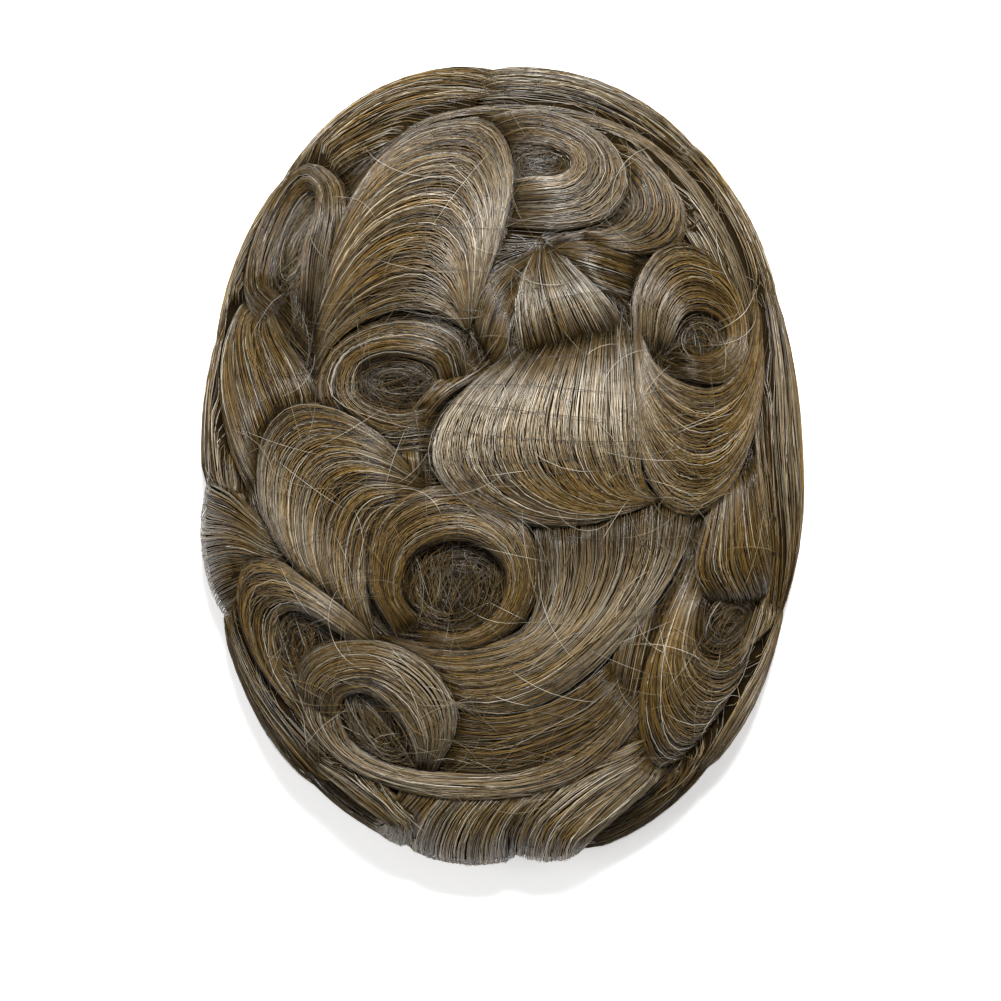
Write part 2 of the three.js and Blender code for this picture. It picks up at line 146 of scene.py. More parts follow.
# Open eyes of the curls: middle and half sizes in hundredths, tilt in degrees, which way the
# hairs wind, how many there are, their share of grey, what share of them lies straight across,
# and the heading of those in degrees.
HOLLOWS = [
    (-15, -30, 18, 12.5, 0, 1, 230, 0.2, 0.55, 85),
    (-40, -64, 15, 8.5, -38, 1, 160, 0.42, 0.3, -40),
    (-69, -44, 8.5, 9, 0, 1, 100, 0.2, 0.2, 60),
    (-33, 20.5, 16, 7, 0, -1, 150, 0.2, 0.15, 20),
    (66, 31, 9, 6, 0, -1, 100, 0.2, 0.3, -60),
    (13, 74.5, 11, 5.5, 0, -1, 100, 0.2, 0.5, 15),
    (-68, 56, 8, 14, -20, 1, 180, 0.45, 0.4, 60),
    (77, -40, 12, 8, 0, 1, 120, 0.3, 0.3, 40),
    (-50, -84, 12, 5, -25, 1, 90, 0.45, 0.4, -20),
    (48, -87, 13, 5, 25, -1, 80, 0.3, 0.3, 30),
    (15, 93, 9, 3.5, -8, 1, 60, 0.3, 0.3, 10),
    (57, 81, 7, 4, -40, 1, 50, 0.3, 0.3, -40),
    (-44, 82, 6, 3.5, 0, 1, 50, 0.4, 0.3, 0),
]

# Fly-away hairs, and the fine dark threads of the net over the locks: the level, start and end
# of each thread in hundredths of the half sizes.
LOOSE_HAIRS = 620
NET_RADIUS = 0.1 * MM
NET_COLOUR = (0.012, 0.010, 0.008)
NET_THREADS = [
    (24, -8, 40), (17, -22, 42), (13, -24, 36), (8, -22, 50), (3, -22, 45), (-2, -20, 48),
    (40, 10, 44), (36, -55, 2), (48, -50, 0), (60, -48, 4), (-48, -20, 40), (-53, -12, 30),
    (-57, -15, 12), (-75, -40, 30), (-20, 12, 60), (-28, -45, -20), (10, 42, 80), (20, 45, 82),
]

# Finish of the hair, the light round the scene, and the lamps: name, place in metres, side and
# power. They face the piece.
HAIR_ROUGHNESS = 0.33
RIDGE_DEPTH = 0.03 * MM
ROUND_LIGHT = 0.34
LAMPS = [("key", (0.1, 1.0, 1.8), 0.45, 84), ("fill", (-1.3, -0.2, 1.5), 0.9, 9)]

bed_low, bed_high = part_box("hair_bed")
base_low, base_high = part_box("base_cap")
CENTRE_X = (bed_low.x + bed_high.x) / 2
CENTRE_Y = (bed_low.y + bed_high.y) / 2
HALF_WIDTH = (bed_high.x - bed_low.x) / 2 + LOCK_DEPTH
HALF_LENGTH = (bed_high.y - bed_low.y) / 2 + LOCK_DEPTH
HAIR_TOP = bed_high.z + LOCK_DEPTH

# Locks from the uppermost down: lift, and rows from root to tip. The rows are the solids', but
# for a few at the rim, the roll and the whorl that reach a little further. lift and rise are
# hundredths of LOCK_DEPTH; a row gives its edges a and b in hundredths of the half sizes, rise,
# and bow, which is how far its middle is bent aside, if it is.
LOCKS = {
    "central_roll": (42, [
        [-3, 24, 41, 32, 62], [-13, 17.5, 42.5, 23, 90], [-20.5, 9, 43.5, 15, 100],
        [-22, 0, 44, 8, 98], [-14, -8, 45, 1, 90], [4, -14, 46, -4, 82], [26, -15, 48, -6.5, 70],
        [46, -10.5, 51, -8.5, 46]]),
    "right_arch_curl": (40, [
        [43, 30, 55, 30, 50], [43, 42, 57.5, 34.5, 80], [50, 52, 61, 37.5, 95],
        [60, 55, 66, 38, 100], [71, 51, 71, 36.5, 96], [79, 43, 74, 34, 88],
        [82, 33, 74.5, 31, 78], [80, 25, 71, 28, 68], [72, 20, 66, 26.5, 56],
        [62, 21, 60, 27, 44]]),
    "right_arcs": (36, [
        [45, 33, 43, 28, 56], [49, 25, 43, 12, 84], [57, 20.5, 46, -1, 98],
        [68, 18.5, 54, -11, 100], [77, 22, 66, -12, 96], [83, 30, 77, -4, 84],
        [86, 40, 85, 10, 66], [87, 48, 89, 24, 46]]),
    "front_ring_curl": (34, [
        [-36, -40, -28, -37, 60], [-43, -29, -32.5, -32, 85], [-40, -14, -29.5, -23, 98],
        [-28, -6.5, -20, -19, 100], [-10, -5.5, -9, -19, 98], [6, -13, 0, -24, 92],
        [12, -26, 1.5, -31, 85], [7, -38, -4, -38, 76], [-8, -45, -14, -41.5, 66],
        [-24, -45, -22, -40.5, 50]]),
    "crown_left_wave": (34, [
        [-8, 38, -12, 33, 46], [0, 56, -17, 36, 76], [4, 74, -23, 37.5, 95],
        [-4, 86, -30, 38, 100], [-22, 86, -38, 37, 100], [-38, 79, -47, 34, 92],
        [-49, 67, -55, 29, 74], [-55, 56, -61, 22, 46]]),
    "front_left_ring": (32, [
        [-21, -75, -28, -74, 42], [-15, -66, -29, -69, 75], [-16, -56, -33, -63, 92],
        [-26, -47, -39, -58.5, 98], [-41, -43, -45, -56, 95], [-56, -44, -51, -57, 88],
        [-66, -49, -54, -60, 76], [-69, -57, -55, -64, 55]]),
    "front_band_low": (34, [
        [-69, -56, -55, -60, 44], [-65, -66, -52, -68, 60], [-54, -75, -44, -73, 68],
        [-38, -80.5, -32, -76, 68], [-18, -83.5, -15, -76.5, 68], [5, -83, 4, -76, 68],
        [24, -79, 20, -72, 68], [37, -71, 33, -65, 62], [45, -63, 41, -58, 44]]),
    "hook_curl": (30, [
        [-42, -41, -46, -45, 42], [-51, -35, -54, -41, 80], [-62, -29, -62, -37, 98],
        [-74, -23.5, -70, -36, 100], [-86, -24, -75, -40, 96], [-90, -33, -75.5, -46, 90],
        [-87, -44, -73, -53, 78], [-79, -55, -67, -60, 62], [-70, -63, -60, -66, 42]]),
    "front_band_high": (30, [
        [62, -10, 10, -13, 46], [59, -22, 12, -26, 66], [50, -34, 11, -35, 80],
        [36, -46, 7, -40, 86], [20, -56, 0, -42.5, 86], [2, -61.5, -12, -44, 84],
        [-14, -60, -24, -44, 76], [-28, -52, -36, -42, 50]]),
    "left_wave": (28, [
        [-29, -1, -25, -8, 42], [-40, 8, -34, -10, 78], [-56, 14.5, -40, -13, 96],
        [-70, 14.5, -43, -18, 100], [-79, 7, -44, -24, 100], [-81, -4, -44, -31, 94],
        [-78, -15, -42, -38, 80], [-66, -27, -40, -44, 52]]),
    "temple_curl": (28, [
        [-57, 38, -66, 43, 46], [-53, 50, -66, 54, 70], [-51, 62, -63, 62, 84],
        [-55, 72, -62, 67.5, 86], [-66, 77, -67, 69.5, 84], [-77, 69, -72, 63, 80],
        [-86, 56, -77, 54, 76], [-89, 43, -79, 46, 66], [-80, 35, -74, 42, 46]]),
    "crown_right_curl": (28, [
        [-4, 88, 2, 80, 50], [8, 90, 9, 80, 80], [22, 87.5, 16, 79, 94], [36, 81, 22, 76.5, 98],
        [42, 71, 22.5, 73, 94], [35, 61, 17, 71, 86], [20, 57.5, 10, 71, 78],
        [5, 58, 4, 70, 50]]),
    "crest_hook": (24, [
        [28, 83, 22, 79, 50], [44, 79, 35, 76, 85], [56, 72, 42, 69, 98], [62, 63, 43, 63, 92],
        [59, 55, 39, 59.5, 80], [47, 51.5, 33, 57.5, 66], [34, 53, 26, 57, 40]]),
    "crest_sweep": (24, [
        [-44, 76, -42, 71, 40], [-27, 87.5, -26, 81, 52], [-8, 91, -9, 84, 58],
        [14, 91.5, 12, 84, 64], [34, 88, 30, 80, 76], [50, 82, 43, 75, 88], [64, 73, 55, 65, 92],
        [75, 62, 64, 54, 86], [83, 49, 72, 45, 74], [88, 34, 79, 32, 60], [90, 20, 83, 20, 42]]),
    "eye_curl": (24, [
        [-10, 22, -20, 20.5, 45], [-14, 31, -22, 24, 66], [-26, 35, -29, 26, 76],
        [-42, 34, -38, 26.5, 78], [-55, 28, -46, 24, 74], [-60, 18, -47.5, 18, 68],
        [-54, 9, -42, 14.5, 62], [-40, 3, -33, 13, 56], [-26, 3, -24, 14.5, 44]]),
    "roll_root_tuft": (24, [
        [-5, 22, -12, 26, 44], [-18, 16, -25, 17, 60], [-26, 7, -33, 8, 60],
        [-26, -3, -34, 0, 40]]),
    "roll_eye": (16, [
        [33, 28, 43, 30, 38], [30, 20, 43, 20, 48], [30, 11, 43, 11, 50], [34, 3, 44, 3, 44],
        [40, -4, 45, -5, 34]]),
    "right_side_fall": (62, [
        [101, 44, 86, 40, 84], [107, 28, 85, 25, 88], [110, 10, 84, 9, 92], [112, -6, 86, -6, 98],
        [112, -20, 89, -20, 98], [108, -37, 90, -35, 88]]),
    "right_drop": (20, [
        [69, -6, 87, 0, 50], [65, -17, 90, -12, 78], [62, -26, 94, -23, 88],
        [67, -33, 96, -33, 52]]),
    "lower_right_scallop": (22, [
        [60, -26, 68, -27, 50], [52, -39, 64, -37, 82], [46, -52, 64, -45, 96],
        [45, -65, 70, -49, 96], [50, -75, 79, -49, 84], [58, -79, 90, -43, 52]]),
    "left_side_fall": (20, [
        [-92, 43, -77, 39, 48], [-96, 31, -71, 31, 74], [-97, 18, -64, 24, 88],
        [-94, 5, -60, 16, 80], [-86, -6, -66, 4, 48]]),
    "left_edge_roll": (62, [
        [-112, 3, -112, -38, 80, -9], [-104, -1, -106, -42, 96, -9], [-94, -5, -98, -42, 100, -8],
        [-84, -11, -88, -36, 84, -6], [-75, -17, -80, -32, 60, -3]]),
    "top_left_rim": (56, [
        [-80, 74, -58, 73, 84], [-74, 84, -50, 77, 90], [-60, 94, -43, 79, 97],
        [-42, 102, -36, 81, 100], [-24, 106, -28, 83, 98], [-9, 106, -20, 85, 92],
        [-2, 104, -10, 87, 84]]),
    "left_bottom_rim": (62, [
        [-108, -36, -90, -32, 84], [-103, -46, -84, -42, 88], [-94, -60, -76, -55, 90],
        [-84, -73, -65, -65, 90], [-76, -82, -57, -72, 86]]),
    "front_left_pin_curl": (58, [
        [-74, -69, -68, -75, 84], [-58, -72, -58, -79, 88], [-44, -77, -48, -85, 95],
        [-34, -85, -40, -89.5, 92], [-29, -95, -40, -91.5, 88], [-39, -106, -46, -92, 88],
        [-58, -100, -55, -87, 86], [-77, -86, -64, -80, 82]]),
    "front_rim_right": (54, [
        [42, -70, 57, -77, 60], [27, -74, 47, -84, 84], [14, -80, 37, -91, 95],
        [5, -88, 31, -96, 95], [2, -98, 30, -101, 92], [5, -109, 30, -108, 62]]),
    "front_rim_left": (54, [
        [-34, -82, 24, -80, 56], [-39, -88, 16, -86, 80], [-40, -94, 13, -92, 94, -2],
        [-37, -101, 14, -100, 92, -2], [-33, -108, 13, -109, 62]]),
    "front_right_roll": (58, [
        [77, -79, 62, -74, 84], [65, -90, 56, -83, 88], [50, -99, 46, -89, 90],
        [36, -105, 33, -93, 90], [20, -109, 22, -96, 84]]),
    "lower_right_edge": (60, [
        [106, -34, 90, -34, 86], [99, -48, 84, -46, 90], [90, -62, 76, -55, 94],
        [81, -75, 67, -66, 92], [73, -86, 60, -78, 86]]),
    "left_rim_upper": (60, [
        [-106, 33, -90, 36, 84], [-102, 51, -85, 49, 90], [-93, 67, -77, 61, 90],
        [-80, 82, -66, 72, 86]]),
    "left_edge_sliver": (60, [
        [-108, 34, -92, 35, 84], [-111, 18, -93, 18, 92], [-111, 3, -92, 3, 92],
        [-108, -8, -90, -8, 84]]),
    "top_right_rim": (56, [
        [-8, 107, -6, 90, 84], [10, 107, 9, 90, 90], [30, 104, 27, 88, 92], [49, 98, 43, 82, 92],
        [67, 88, 56, 75, 88]]),
    "right_rim_upper": (60, [
        [66, 89, 56, 75, 88], [79, 78, 67, 67, 90], [90, 62, 76, 55, 90], [98, 46, 82, 42, 86],
        [103, 30, 84, 26, 84]]),
    "whorl_front_fan": (12, [
        [11, 53, 17, 53, 14], [6, 46, 25, 48, 44], [4, 37, 34, 41, 64], [6, 27, 41, 33, 40]]),
    "whorl_right_fan": (12, [
        [16, 55, 17, 50, 14], [30, 58, 29, 44, 50], [44, 56, 42, 40, 40]]),
    "whorl_left_fan": (12, [
        [12, 53, 11, 49, 14], [-1, 49, 4, 36, 50], [-7, 43, 2, 28, 56], [-9, 33, -2, 24, 36]]),
    "under_sweep": (12, [
        [43, -58, 34, -49, 42], [34, -67, 24, -55, 58], [21, -73, 9, -59, 62],
        [3, -78, -4, -60, 58], [-16, -79, -16, -58, 42]]),
    "gap_tuft": (12, [
        [51, -33, 40, -38, 38], [47, -46, 36, -48, 56], [43, -60, 35, -58, 38]]),
}


# How a lock differs from the usual: share of grey hairs, lightness, density, and a band of painted
# highlight across it by its place on the way, its width there and its strength.
LOOKS = {
    "central_roll": {"grey": 0.2, "light": 1.05, "density": 1.2, "band": (0.3, 0.17, 1)},
    "temple_curl": {"light": 0.85},
    "left_side_fall": {"light": 0.85},
    "roll_eye": {"light": 0.8},
    "right_arch_curl": {"band": (0.12, 0.12, 0.35)},
    "right_arcs": {"density": 1.1, "band": (0.2, 0.2, 0.25)},
    "crown_left_wave": {"grey": 0.2, "band": (0.2, 0.16, 0.35)},
    "front_ring_curl": {"light": 0.95, "grey": 0.12, "band": (0.5, 0.12, 0.3)},
    "front_left_ring": {"light": 0.84, "grey": 0.2, "band": (0.3, 0.16, 0.35)},
    "front_band_low": {"grey": 0.24, "light": 1.05, "band": (0.45, 0.4, 0.3)},
    "front_band_high": {"grey": 0.22, "light": 1.05, "band": (0.35, 0.25, 0.4)},
    "hook_curl": {"light": 0.8, "band": (0.2, 0.2, 0.3)},
    "left_wave": {"band": (0.72, 0.12, 0.35)},
    "crown_right_curl": {"band": (0.75, 0.2, 0.4)},
    "crest_sweep": {"grey": 0.25, "band": (0.6, 0.25, 0.3)},
    "whorl_front_fan": {"grey": 0.25, "light": 1.15, "band": (0.6, 0.2, 0.75)},
    "front_rim_right": {"grey": 0.34, "light": 1.1, "band": (0.3, 0.16, 0.45)},
    "front_rim_left": {"grey": 0.34},
    "top_left_rim": {"grey": 0.34},
    "top_right_rim": {"grey": 0.34},
    "right_rim_upper": {"grey": 0.3},
    "left_edge_roll": {"grey": 0.2, "light": 0.85, "density": 0.8},
    "left_bottom_rim": {"light": 0.8, "grey": 0.34},
    "left_rim_upper": {"grey": 0.34},
    "lower_right_edge": {"grey": 0.3, "light": 1.15, "band": (0.5, 0.3, 0.3)},
    "front_left_pin_curl": {"light": 0.85, "grey": 0.4},
    "right_side_fall": {"grey": 0.22, "band": (0.45, 0.2, 0.3)},
}


def make_camera():
    """The photograph's view: straight down, from far enough to be nearly parallel."""
    distance = 3.0
    view_side = 0.3288
    aim = (-0.0003, -0.01167)
    sensor = 36
    data = bpy.data.cameras.new("camera")
    data.sensor_width = sensor
    data.lens = sensor * (distance - WIDEST_LEVEL) / view_side
    data.clip_end = 20
    camera = bpy.data.objects.new("camera", data)
    camera.location = (*aim, distance)
    bpy.context.scene.collection.objects.link(camera)
    bpy.context.scene.camera = camera


def plan_reach(place):
    """Reach of a plan point: 1 on the outline, less inside it."""
    total = np.abs(place[..., 0]) ** PLAN_FULLNESS + np.abs(place[..., 1]) ** PLAN_FULLNESS
    return total ** (1 / PLAN_FULLNESS)


def unroll(hundredths):
    """Plan points, in hundredths, as places on the rounded surface laid out flat."""
    plan = np.asarray(hundredths, float) / 100
    reach = np.maximum(plan_reach(plan), 1e-9)
    over_edge = (reach - 1) / WRAP_SHARE
    angle = np.where(reach < 1, np.arcsin(np.minimum(reach, 1)), math.pi / 2 * (1 + over_edge))
    return plan * (angle / reach)[..., None]


def hair_point(place, height):
    """Points of the hair at unrolled places, with their height over the bed."""
    reach = np.maximum(plan_reach(place), 1e-9)
    along = place / reach[..., None]
    angle = np.minimum(reach, math.pi)
    past = np.maximum(angle - math.pi / 2, 0)
    outward = np.where(past > 0, 1, np.sin(angle))
    depth = LOCK_DEPTH - height
    inset = depth * outward ** LEAN_ONSET + TUCK * (1 - np.cos(past))
    upper = (HAIR_TOP - WIDEST_LEVEL - depth) * np.cos(angle)
    lower = (LOCK_FOOT - WIDEST_LEVEL) * np.sin(past)
    return np.stack([
        CENTRE_X + (HALF_WIDTH * outward - inset) * along[..., 0],
        CENTRE_Y + (HALF_LENGTH * outward - inset) * along[..., 1],
        WIDEST_LEVEL + np.where(past > 0, lower, upper)], axis=-1)


def spline(rows, way):
    """Values on a Catmull-Rom curve through rows, carried on straight past both ends."""
    rows = np.vstack([2 * rows[0] - rows[1], rows, 2 * rows[-1] - rows[-2]])
    last = len(rows) - 3
    spot = np.clip(way, 0, 1) * last
    index = np.minimum(spot.astype(int), last - 1)
    t = (spot - index)[..., None]
    before, start, end, after = rows[index], rows[index + 1], rows[index + 2], rows[index + 3]
    curve = start + t / 2 * (end - before + t * (
        2 * before - 5 * start + 4 * end - after + t * (3 * (start - end) + after - before)))
    beyond = (way - np.clip(way, 0, 1))[..., None] * last
    return curve + beyond * (end - start)


class Lock:
    """A lock's edges, crown height and bow at any share of its way from root to tip."""

    def __init__(self, lift, rows):
        table = np.array([row if len(row) == 6 else [*row, 0] for row in rows], float)
        self.lift = lift / 100 * LOCK_DEPTH
        self.on_rim = lift >= RIM_LIFT
        self.reach, self.sink = (RIM_REACH, RIM_SINK) if self.on_rim else (END_REACH, END_SINK)
        self.edge_a = unroll(table[:, 0:2])
        self.edge_b = unroll(table[:, 2:4])
        self.shape = table[:, 4:6] / 100
        way = np.linspace(0, 1, 33)
        flat = np.zeros_like(way)
        side, middle, far_side = (hair_point(self.place(way, flat + share), flat)
                                  for share in (0, 0.5, 1))
        self.length = np.linalg.norm(np.diff(middle, axis=0), axis=1).sum()
        self.width = np.linalg.norm(far_side - side, axis=1).mean()

    def place(self, way, across):
        """Unrolled places at shares of the way, and of the width from edge a to edge b."""
        start = spline(self.edge_a, way)
        side = spline(self.edge_b, way) - start
        bow = spline(self.shape, way)[..., 1]
        span = np.maximum(np.linalg.norm(side, axis=-1), 1e-9)
        bowed = np.stack([-side[..., 1], side[..., 0]], axis=-1) * (bow / span)[..., None]
        share = (4 * across * (1 - across))[..., None]
        return start + side * across[..., None] + bowed * share

    def height(self, way, across):
        """Rounded from edge to edge, and sinking past the root and tip."""
        rise = spline(self.shape, way)[..., 0] * LOCK_DEPTH
        edge = np.minimum(self.lift, rise)
        beyond = np.abs(way - np.clip(way, 0, 1))
        sinking = np.maximum(1 - beyond / self.reach * self.sink, 0)
        from_middle = np.clip(np.abs(2 * across - 1), 0, 1)
        roundness = (1 - from_middle ** CROWN_BREADTH) ** SIDE_STEEPNESS
        return (edge + (rise - edge) * roundness) * sinking


class SurfaceMap:
    """Which part of the unrolled surface is covered so far, how high, and what may pass under."""

    def __init__(self):
        size = (MAP_CELLS, MAP_CELLS)
        self.covered = np.zeros(size, bool)
        self.hidden = np.zeros(size, bool)
        self.top = np.zeros(size)
        self.ceiling = np.full(size, LOCK_DEPTH)

    def cells(self, place):
        """The cell that each place lies in."""
        spot = (place / MAP_REACH + 1) / 2 * (MAP_CELLS - 1)
        index = np.clip(np.round(spot).astype(int), 0, MAP_CELLS - 1)
        return index[..., 0], index[..., 1]

    def read(self, grid, place):
        """A grid's value at each place, blended from the four cells round it."""
        spot = np.clip((place / MAP_REACH + 1) / 2 * (MAP_CELLS - 1), 0, MAP_CELLS - 1.001)
        low = spot.astype(int)
        share = spot - low
        i, j = low[..., 0], low[..., 1]
        s, t = share[..., 0], share[..., 1]
        return ((grid[i, j] * (1 - s) + grid[i + 1, j] * s) * (1 - t)
                + (grid[i, j + 1] * (1 - s) + grid[i + 1, j + 1] * s) * t)

    def hides(self, place):
        """Whether each place lies well inside the area covered so far."""
        return self.hidden[self.cells(place)]

    def cover(self, lock):
        """Adds a lock, so that later ones dip under its edges and end below it."""
        footprint, height = self.footprint(lock)
        fresh = footprint & ~self.covered
        self.top[fresh] = height[fresh]
        self.covered |= footprint
        self.lower_ceiling(footprint, lock.lift)
        bare = ~self.covered
        for _ in range(HIDDEN_CELLS):
            bare = widened(bare)
        self.hidden = ~bare

    def footprint(self, lock):
        """The cells under a lock, and its height over them."""
        way, across = np.meshgrid(np.linspace(0, 1, 420), np.linspace(0, 1, 260), indexing="ij")
        cells = self.cells(lock.place(way, across))
        footprint = np.zeros_like(self.covered)
        footprint[cells] = True
        height = np.zeros_like(self.top)
        np.maximum.at(height, cells, lock.height(way, across))
        return footprint, height

    def lower_ceiling(self, footprint, lift):
        """Keeps later locks under a footprint's lift, and rising slowly beside it."""
        self.ceiling[footprint] = np.minimum(self.ceiling[footprint], lift)
        cell = HALF_LENGTH * 2 * MAP_REACH / MAP_CELLS
        for step in range(1, CREVICE_CELLS + 1):
            wider = widened(footprint)
            ring = wider & ~footprint
            limit = lift + CREVICE_SLOPE * cell * step
            self.ceiling[ring] = np.minimum(self.ceiling[ring], limit)
            footprint = wider


def widened(mask):
    """A mask grown by one cell on every side."""
    wider = mask.copy()
    wider[1:] |= mask[:-1]
    wider[:-1] |= mask[1:]
    wider[:, 1:] |= mask[:, :-1]
    wider[:, :-1] |= mask[:, 1:]
    return wider


def waves(rng, count, way, length, longest, shortest):
    """Smooth random curves along the strands, between about -1 and 1."""
    total = np.zeros((count, way.shape[-1]))
    for _ in range(2):
        turns = length / rng.uniform(shortest, longest, (count, 1))
        total += np.sin(2 * math.pi * (turns * way + rng.uniform(0, 1, (count, 1)))) / 2
    return total


def rhythm(rng, share, beats):
    """A smooth random value for each share, so that neighbours are alike."""
    total = np.zeros_like(share)
    for _ in range(3):
        total += np.sin(2 * math.pi * (share * rng.uniform(0.5, 1.5) * beats + rng.uniform(0, 1)))
    return total / 3


def smoothed(values):
    """Values along each strand, eased over their neighbours."""
    for _ in range(2):
        padded = np.pad(values, ((0, 0), (1, 1)), mode="edge")
        values = padded[:, :-2] / 4 + padded[:, 1:-1] / 2 + padded[:, 2:] / 4
    return values


class HairMesh:
    """Collects strands and closed surfaces, and makes one mesh of them."""

    def __init__(self):
        self.points = []
        self.faces = []
        self.colours = []
        self.uvs = []
        self.count = 0
        self.strands = []

    def add_strand(self, points, radius, colour):
        self.strands.append((points, radius, colour))

    def add_surface(self, points, quads, colour, uvs):
        self.points.append(points)
        self.faces.append(np.asarray(quads) + self.count)
        self.colours.append(np.tile([*colour, MATT], (len(points), 1)))
        self.uvs.append(uvs.reshape(-1, 2))
        self.count += len(points)

    def strand_faces(self, rings):
        """Quads round a three-sided tube of so many rings, and its two end triangles."""
        ring = np.arange(rings - 1)[:, None] * 3
        side = np.arange(3)[None, :]
        after = (side + 1) % 3
        quads = np.stack([ring + side, ring + after, ring + 3 + after, ring + 3 + side], axis=-1)
        last = (rings - 1) * 3
        return quads.reshape(-1, 4), np.array([[2, 1, 0], [last, last + 1, last + 2]])

    def build(self, name, material):
        quads, triangles, quad_uvs, triangle_uvs = [], [], [], []
        for faces, uvs in zip(self.faces, self.uvs):
            quads.append(faces)
            quad_uvs.append(uvs)
        columns = max(len(self.strands), 1)
        rows = max(round(columns / COLUMNS_A_ROW), 1)
        per_row = math.ceil(columns / rows)
        for number, (points, radius, colour) in enumerate(self.strands):
            rings = len(points)
            self.points.append(tube_points(points, radius))
            shades = np.hstack([colour, np.full((rings, 1), GLOSSY)])
            self.colours.append(np.repeat(shades, 3, axis=0))
            body, ends = self.strand_faces(rings)
            quads.append(body + self.count)
            triangles.append(ends + self.count)
            self.count += rings * 3
            column, row = number % per_row, number // per_row
            quad_uvs.append(strand_uvs(rings, column, row, per_row, rows))
            triangle_uvs.append(end_uvs(column, row, per_row, rows))
        return write_mesh(name, material, np.vstack(self.points), np.vstack(self.colours),
                          np.vstack(quads), np.vstack(quad_uvs),
                          np.vstack(triangles) if triangles else np.zeros((0, 3), int),
                          np.vstack(triangle_uvs) if triangles else np.zeros((0, 2)))


def column_span(column, per_row):
    """Left side and width of a strand's column in the bake map."""
    wide = (1 - SURFACE_STRIP) / per_row
    return SURFACE_STRIP + wide * (column + COLUMN_GAP), wide * (1 - 2 * COLUMN_GAP)


def strand_uvs(rings, column, row, per_row, rows):
    """Each strand has a column of its own in the bake map."""
    left, inside = column_span(column, per_row)
    side = np.arange(3) / 3
    v = (row + 0.02 + 0.94 * np.linspace(0, 1, rings)) / rows
    u0 = np.broadcast_to(left + inside * side, (rings - 1, 3))
    u1 = u0 + inside / 3
    v0 = np.broadcast_to(v[:-1, None], (rings - 1, 3))
    v1 = np.broadcast_to(v[1:, None], (rings - 1, 3))
    corners = np.stack([np.stack([u0, v0], -1), np.stack([u1, v0], -1),
                        np.stack([u1, v1], -1), np.stack([u0, v1], -1)], axis=2)
    return corners.reshape(-1, 2)


def end_uvs(column, row, per_row, rows):
    """The two end triangles lie at the top of the strand's column."""
    left, inside = column_span(column, per_row)
    right = left + inside
    low, middle, high = ((row + share) / rows for share in (0.965, 0.975, 0.985))
    return np.array([[left, low], [right, low], [left, middle],
                     [left, middle], [right, middle], [left, high]])


def tube_points(points, radius):
    """Rings of three points round a strand, with one of them facing out."""
    tangent = np.gradient(points, axis=0)
    tangent /= np.maximum(np.linalg.norm(tangent, axis=1, keepdims=True), 1e-9)
    out = (points - np.array([CENTRE_X, CENTRE_Y, -HAIR_TOP])) / np.array(
        [HALF_WIDTH, HALF_LENGTH, HAIR_TOP])
    side = np.cross(tangent, out)
    side /= np.maximum(np.linalg.norm(side, axis=1, keepdims=True), 1e-9)
    up = np.cross(side, tangent)
    turn = np.array([0.25, 7 / 12, 11 / 12]) * 2 * math.pi
    ring = (np.cos(turn)[None, :, None] * side[:, None, :]
            + np.sin(turn)[None, :, None] * up[:, None, :])
    return (points[:, None, :] + ring * radius[:, None, None]).reshape(-1, 3)


def write_mesh(name, material, points, colours, quads, quad_uvs, triangles, triangle_uvs):
    """A mesh object from arrays, with a colour on each point and a UV on each corner."""
    mesh = bpy.data.meshes.new(name)
    mesh.vertices.add(len(points))
    mesh.vertices.foreach_set("co", points.astype(np.float32).ravel())
    corners = np.concatenate([quads.ravel(), triangles.ravel()])
    mesh.loops.add(len(corners))
    mesh.loops.foreach_set("vertex_index", corners.astype(np.int32))
    sizes = np.concatenate([np.full(len(quads), 4), np.full(len(triangles), 3)])
    mesh.polygons.add(len(sizes))
    starts = np.concatenate([[0], np.cumsum(sizes)[:-1]])
    mesh.polygons.foreach_set("loop_start", starts.astype(np.int32))
    mesh.polygons.foreach_set("use_smooth", np.ones(len(sizes), bool))
    uvs = mesh.uv_layers.new(name="OFBake")
    uvs.data.foreach_set("uv", np.vstack([quad_uvs, triangle_uvs]).astype(np.float32).ravel())
    tint = mesh.attributes.new("colour_and_painted_light", "FLOAT_COLOR", "POINT")
    tint.data.foreach_set("color", colours.astype(np.float32).ravel())
    mesh.materials.append(material)
    mesh.update(calc_edges=True)
    mesh.validate()
    piece = bpy.data.objects.new(name, mesh)
    bpy.context.scene.collection.objects.link(piece)
    return piece


def add_core(hair, lock, surface):
    """The inside of a lock, dark with painted shade: a closed form under its strands, left out
    where it is hidden.
    """
    along = max(round(lock.length / CORE_CELL), 6)
    turn = np.linspace(0, math.pi, CORE_SIDES + 1)
    way, across = np.meshgrid(np.linspace(0, 1, along + 1), (1 - np.cos(turn)) / 2, indexing="ij")
    place = lock.place(way, across)
    height = np.minimum(lock.height(way, across), surface.read(surface.ceiling, place))
    height = np.maximum(height - CORE_SINK, 0.3 * MM)
    upper = hair_point(place, height)
    lower = hair_point(place, np.full_like(height, 0.1 * MM))
    buried = surface.hides(place)
    quads = core_quads(~(buried[:-1, :-1] & buried[1:, :-1] & buried[:-1, 1:] & buried[1:, 1:]))
    if not quads:
        return
    used, compact = np.unique(quads, return_inverse=True)
    points = np.vstack([upper.reshape(-1, 3), lower.reshape(-1, 3)])[used]
    quads = compact.reshape(-1, 4)
    if facing_in(points, quads):
        quads = quads[:, ::-1]
    hair.add_surface(points, quads, CORE_PAINTED_SHADE_COLOUR, quad_cells(len(quads)))


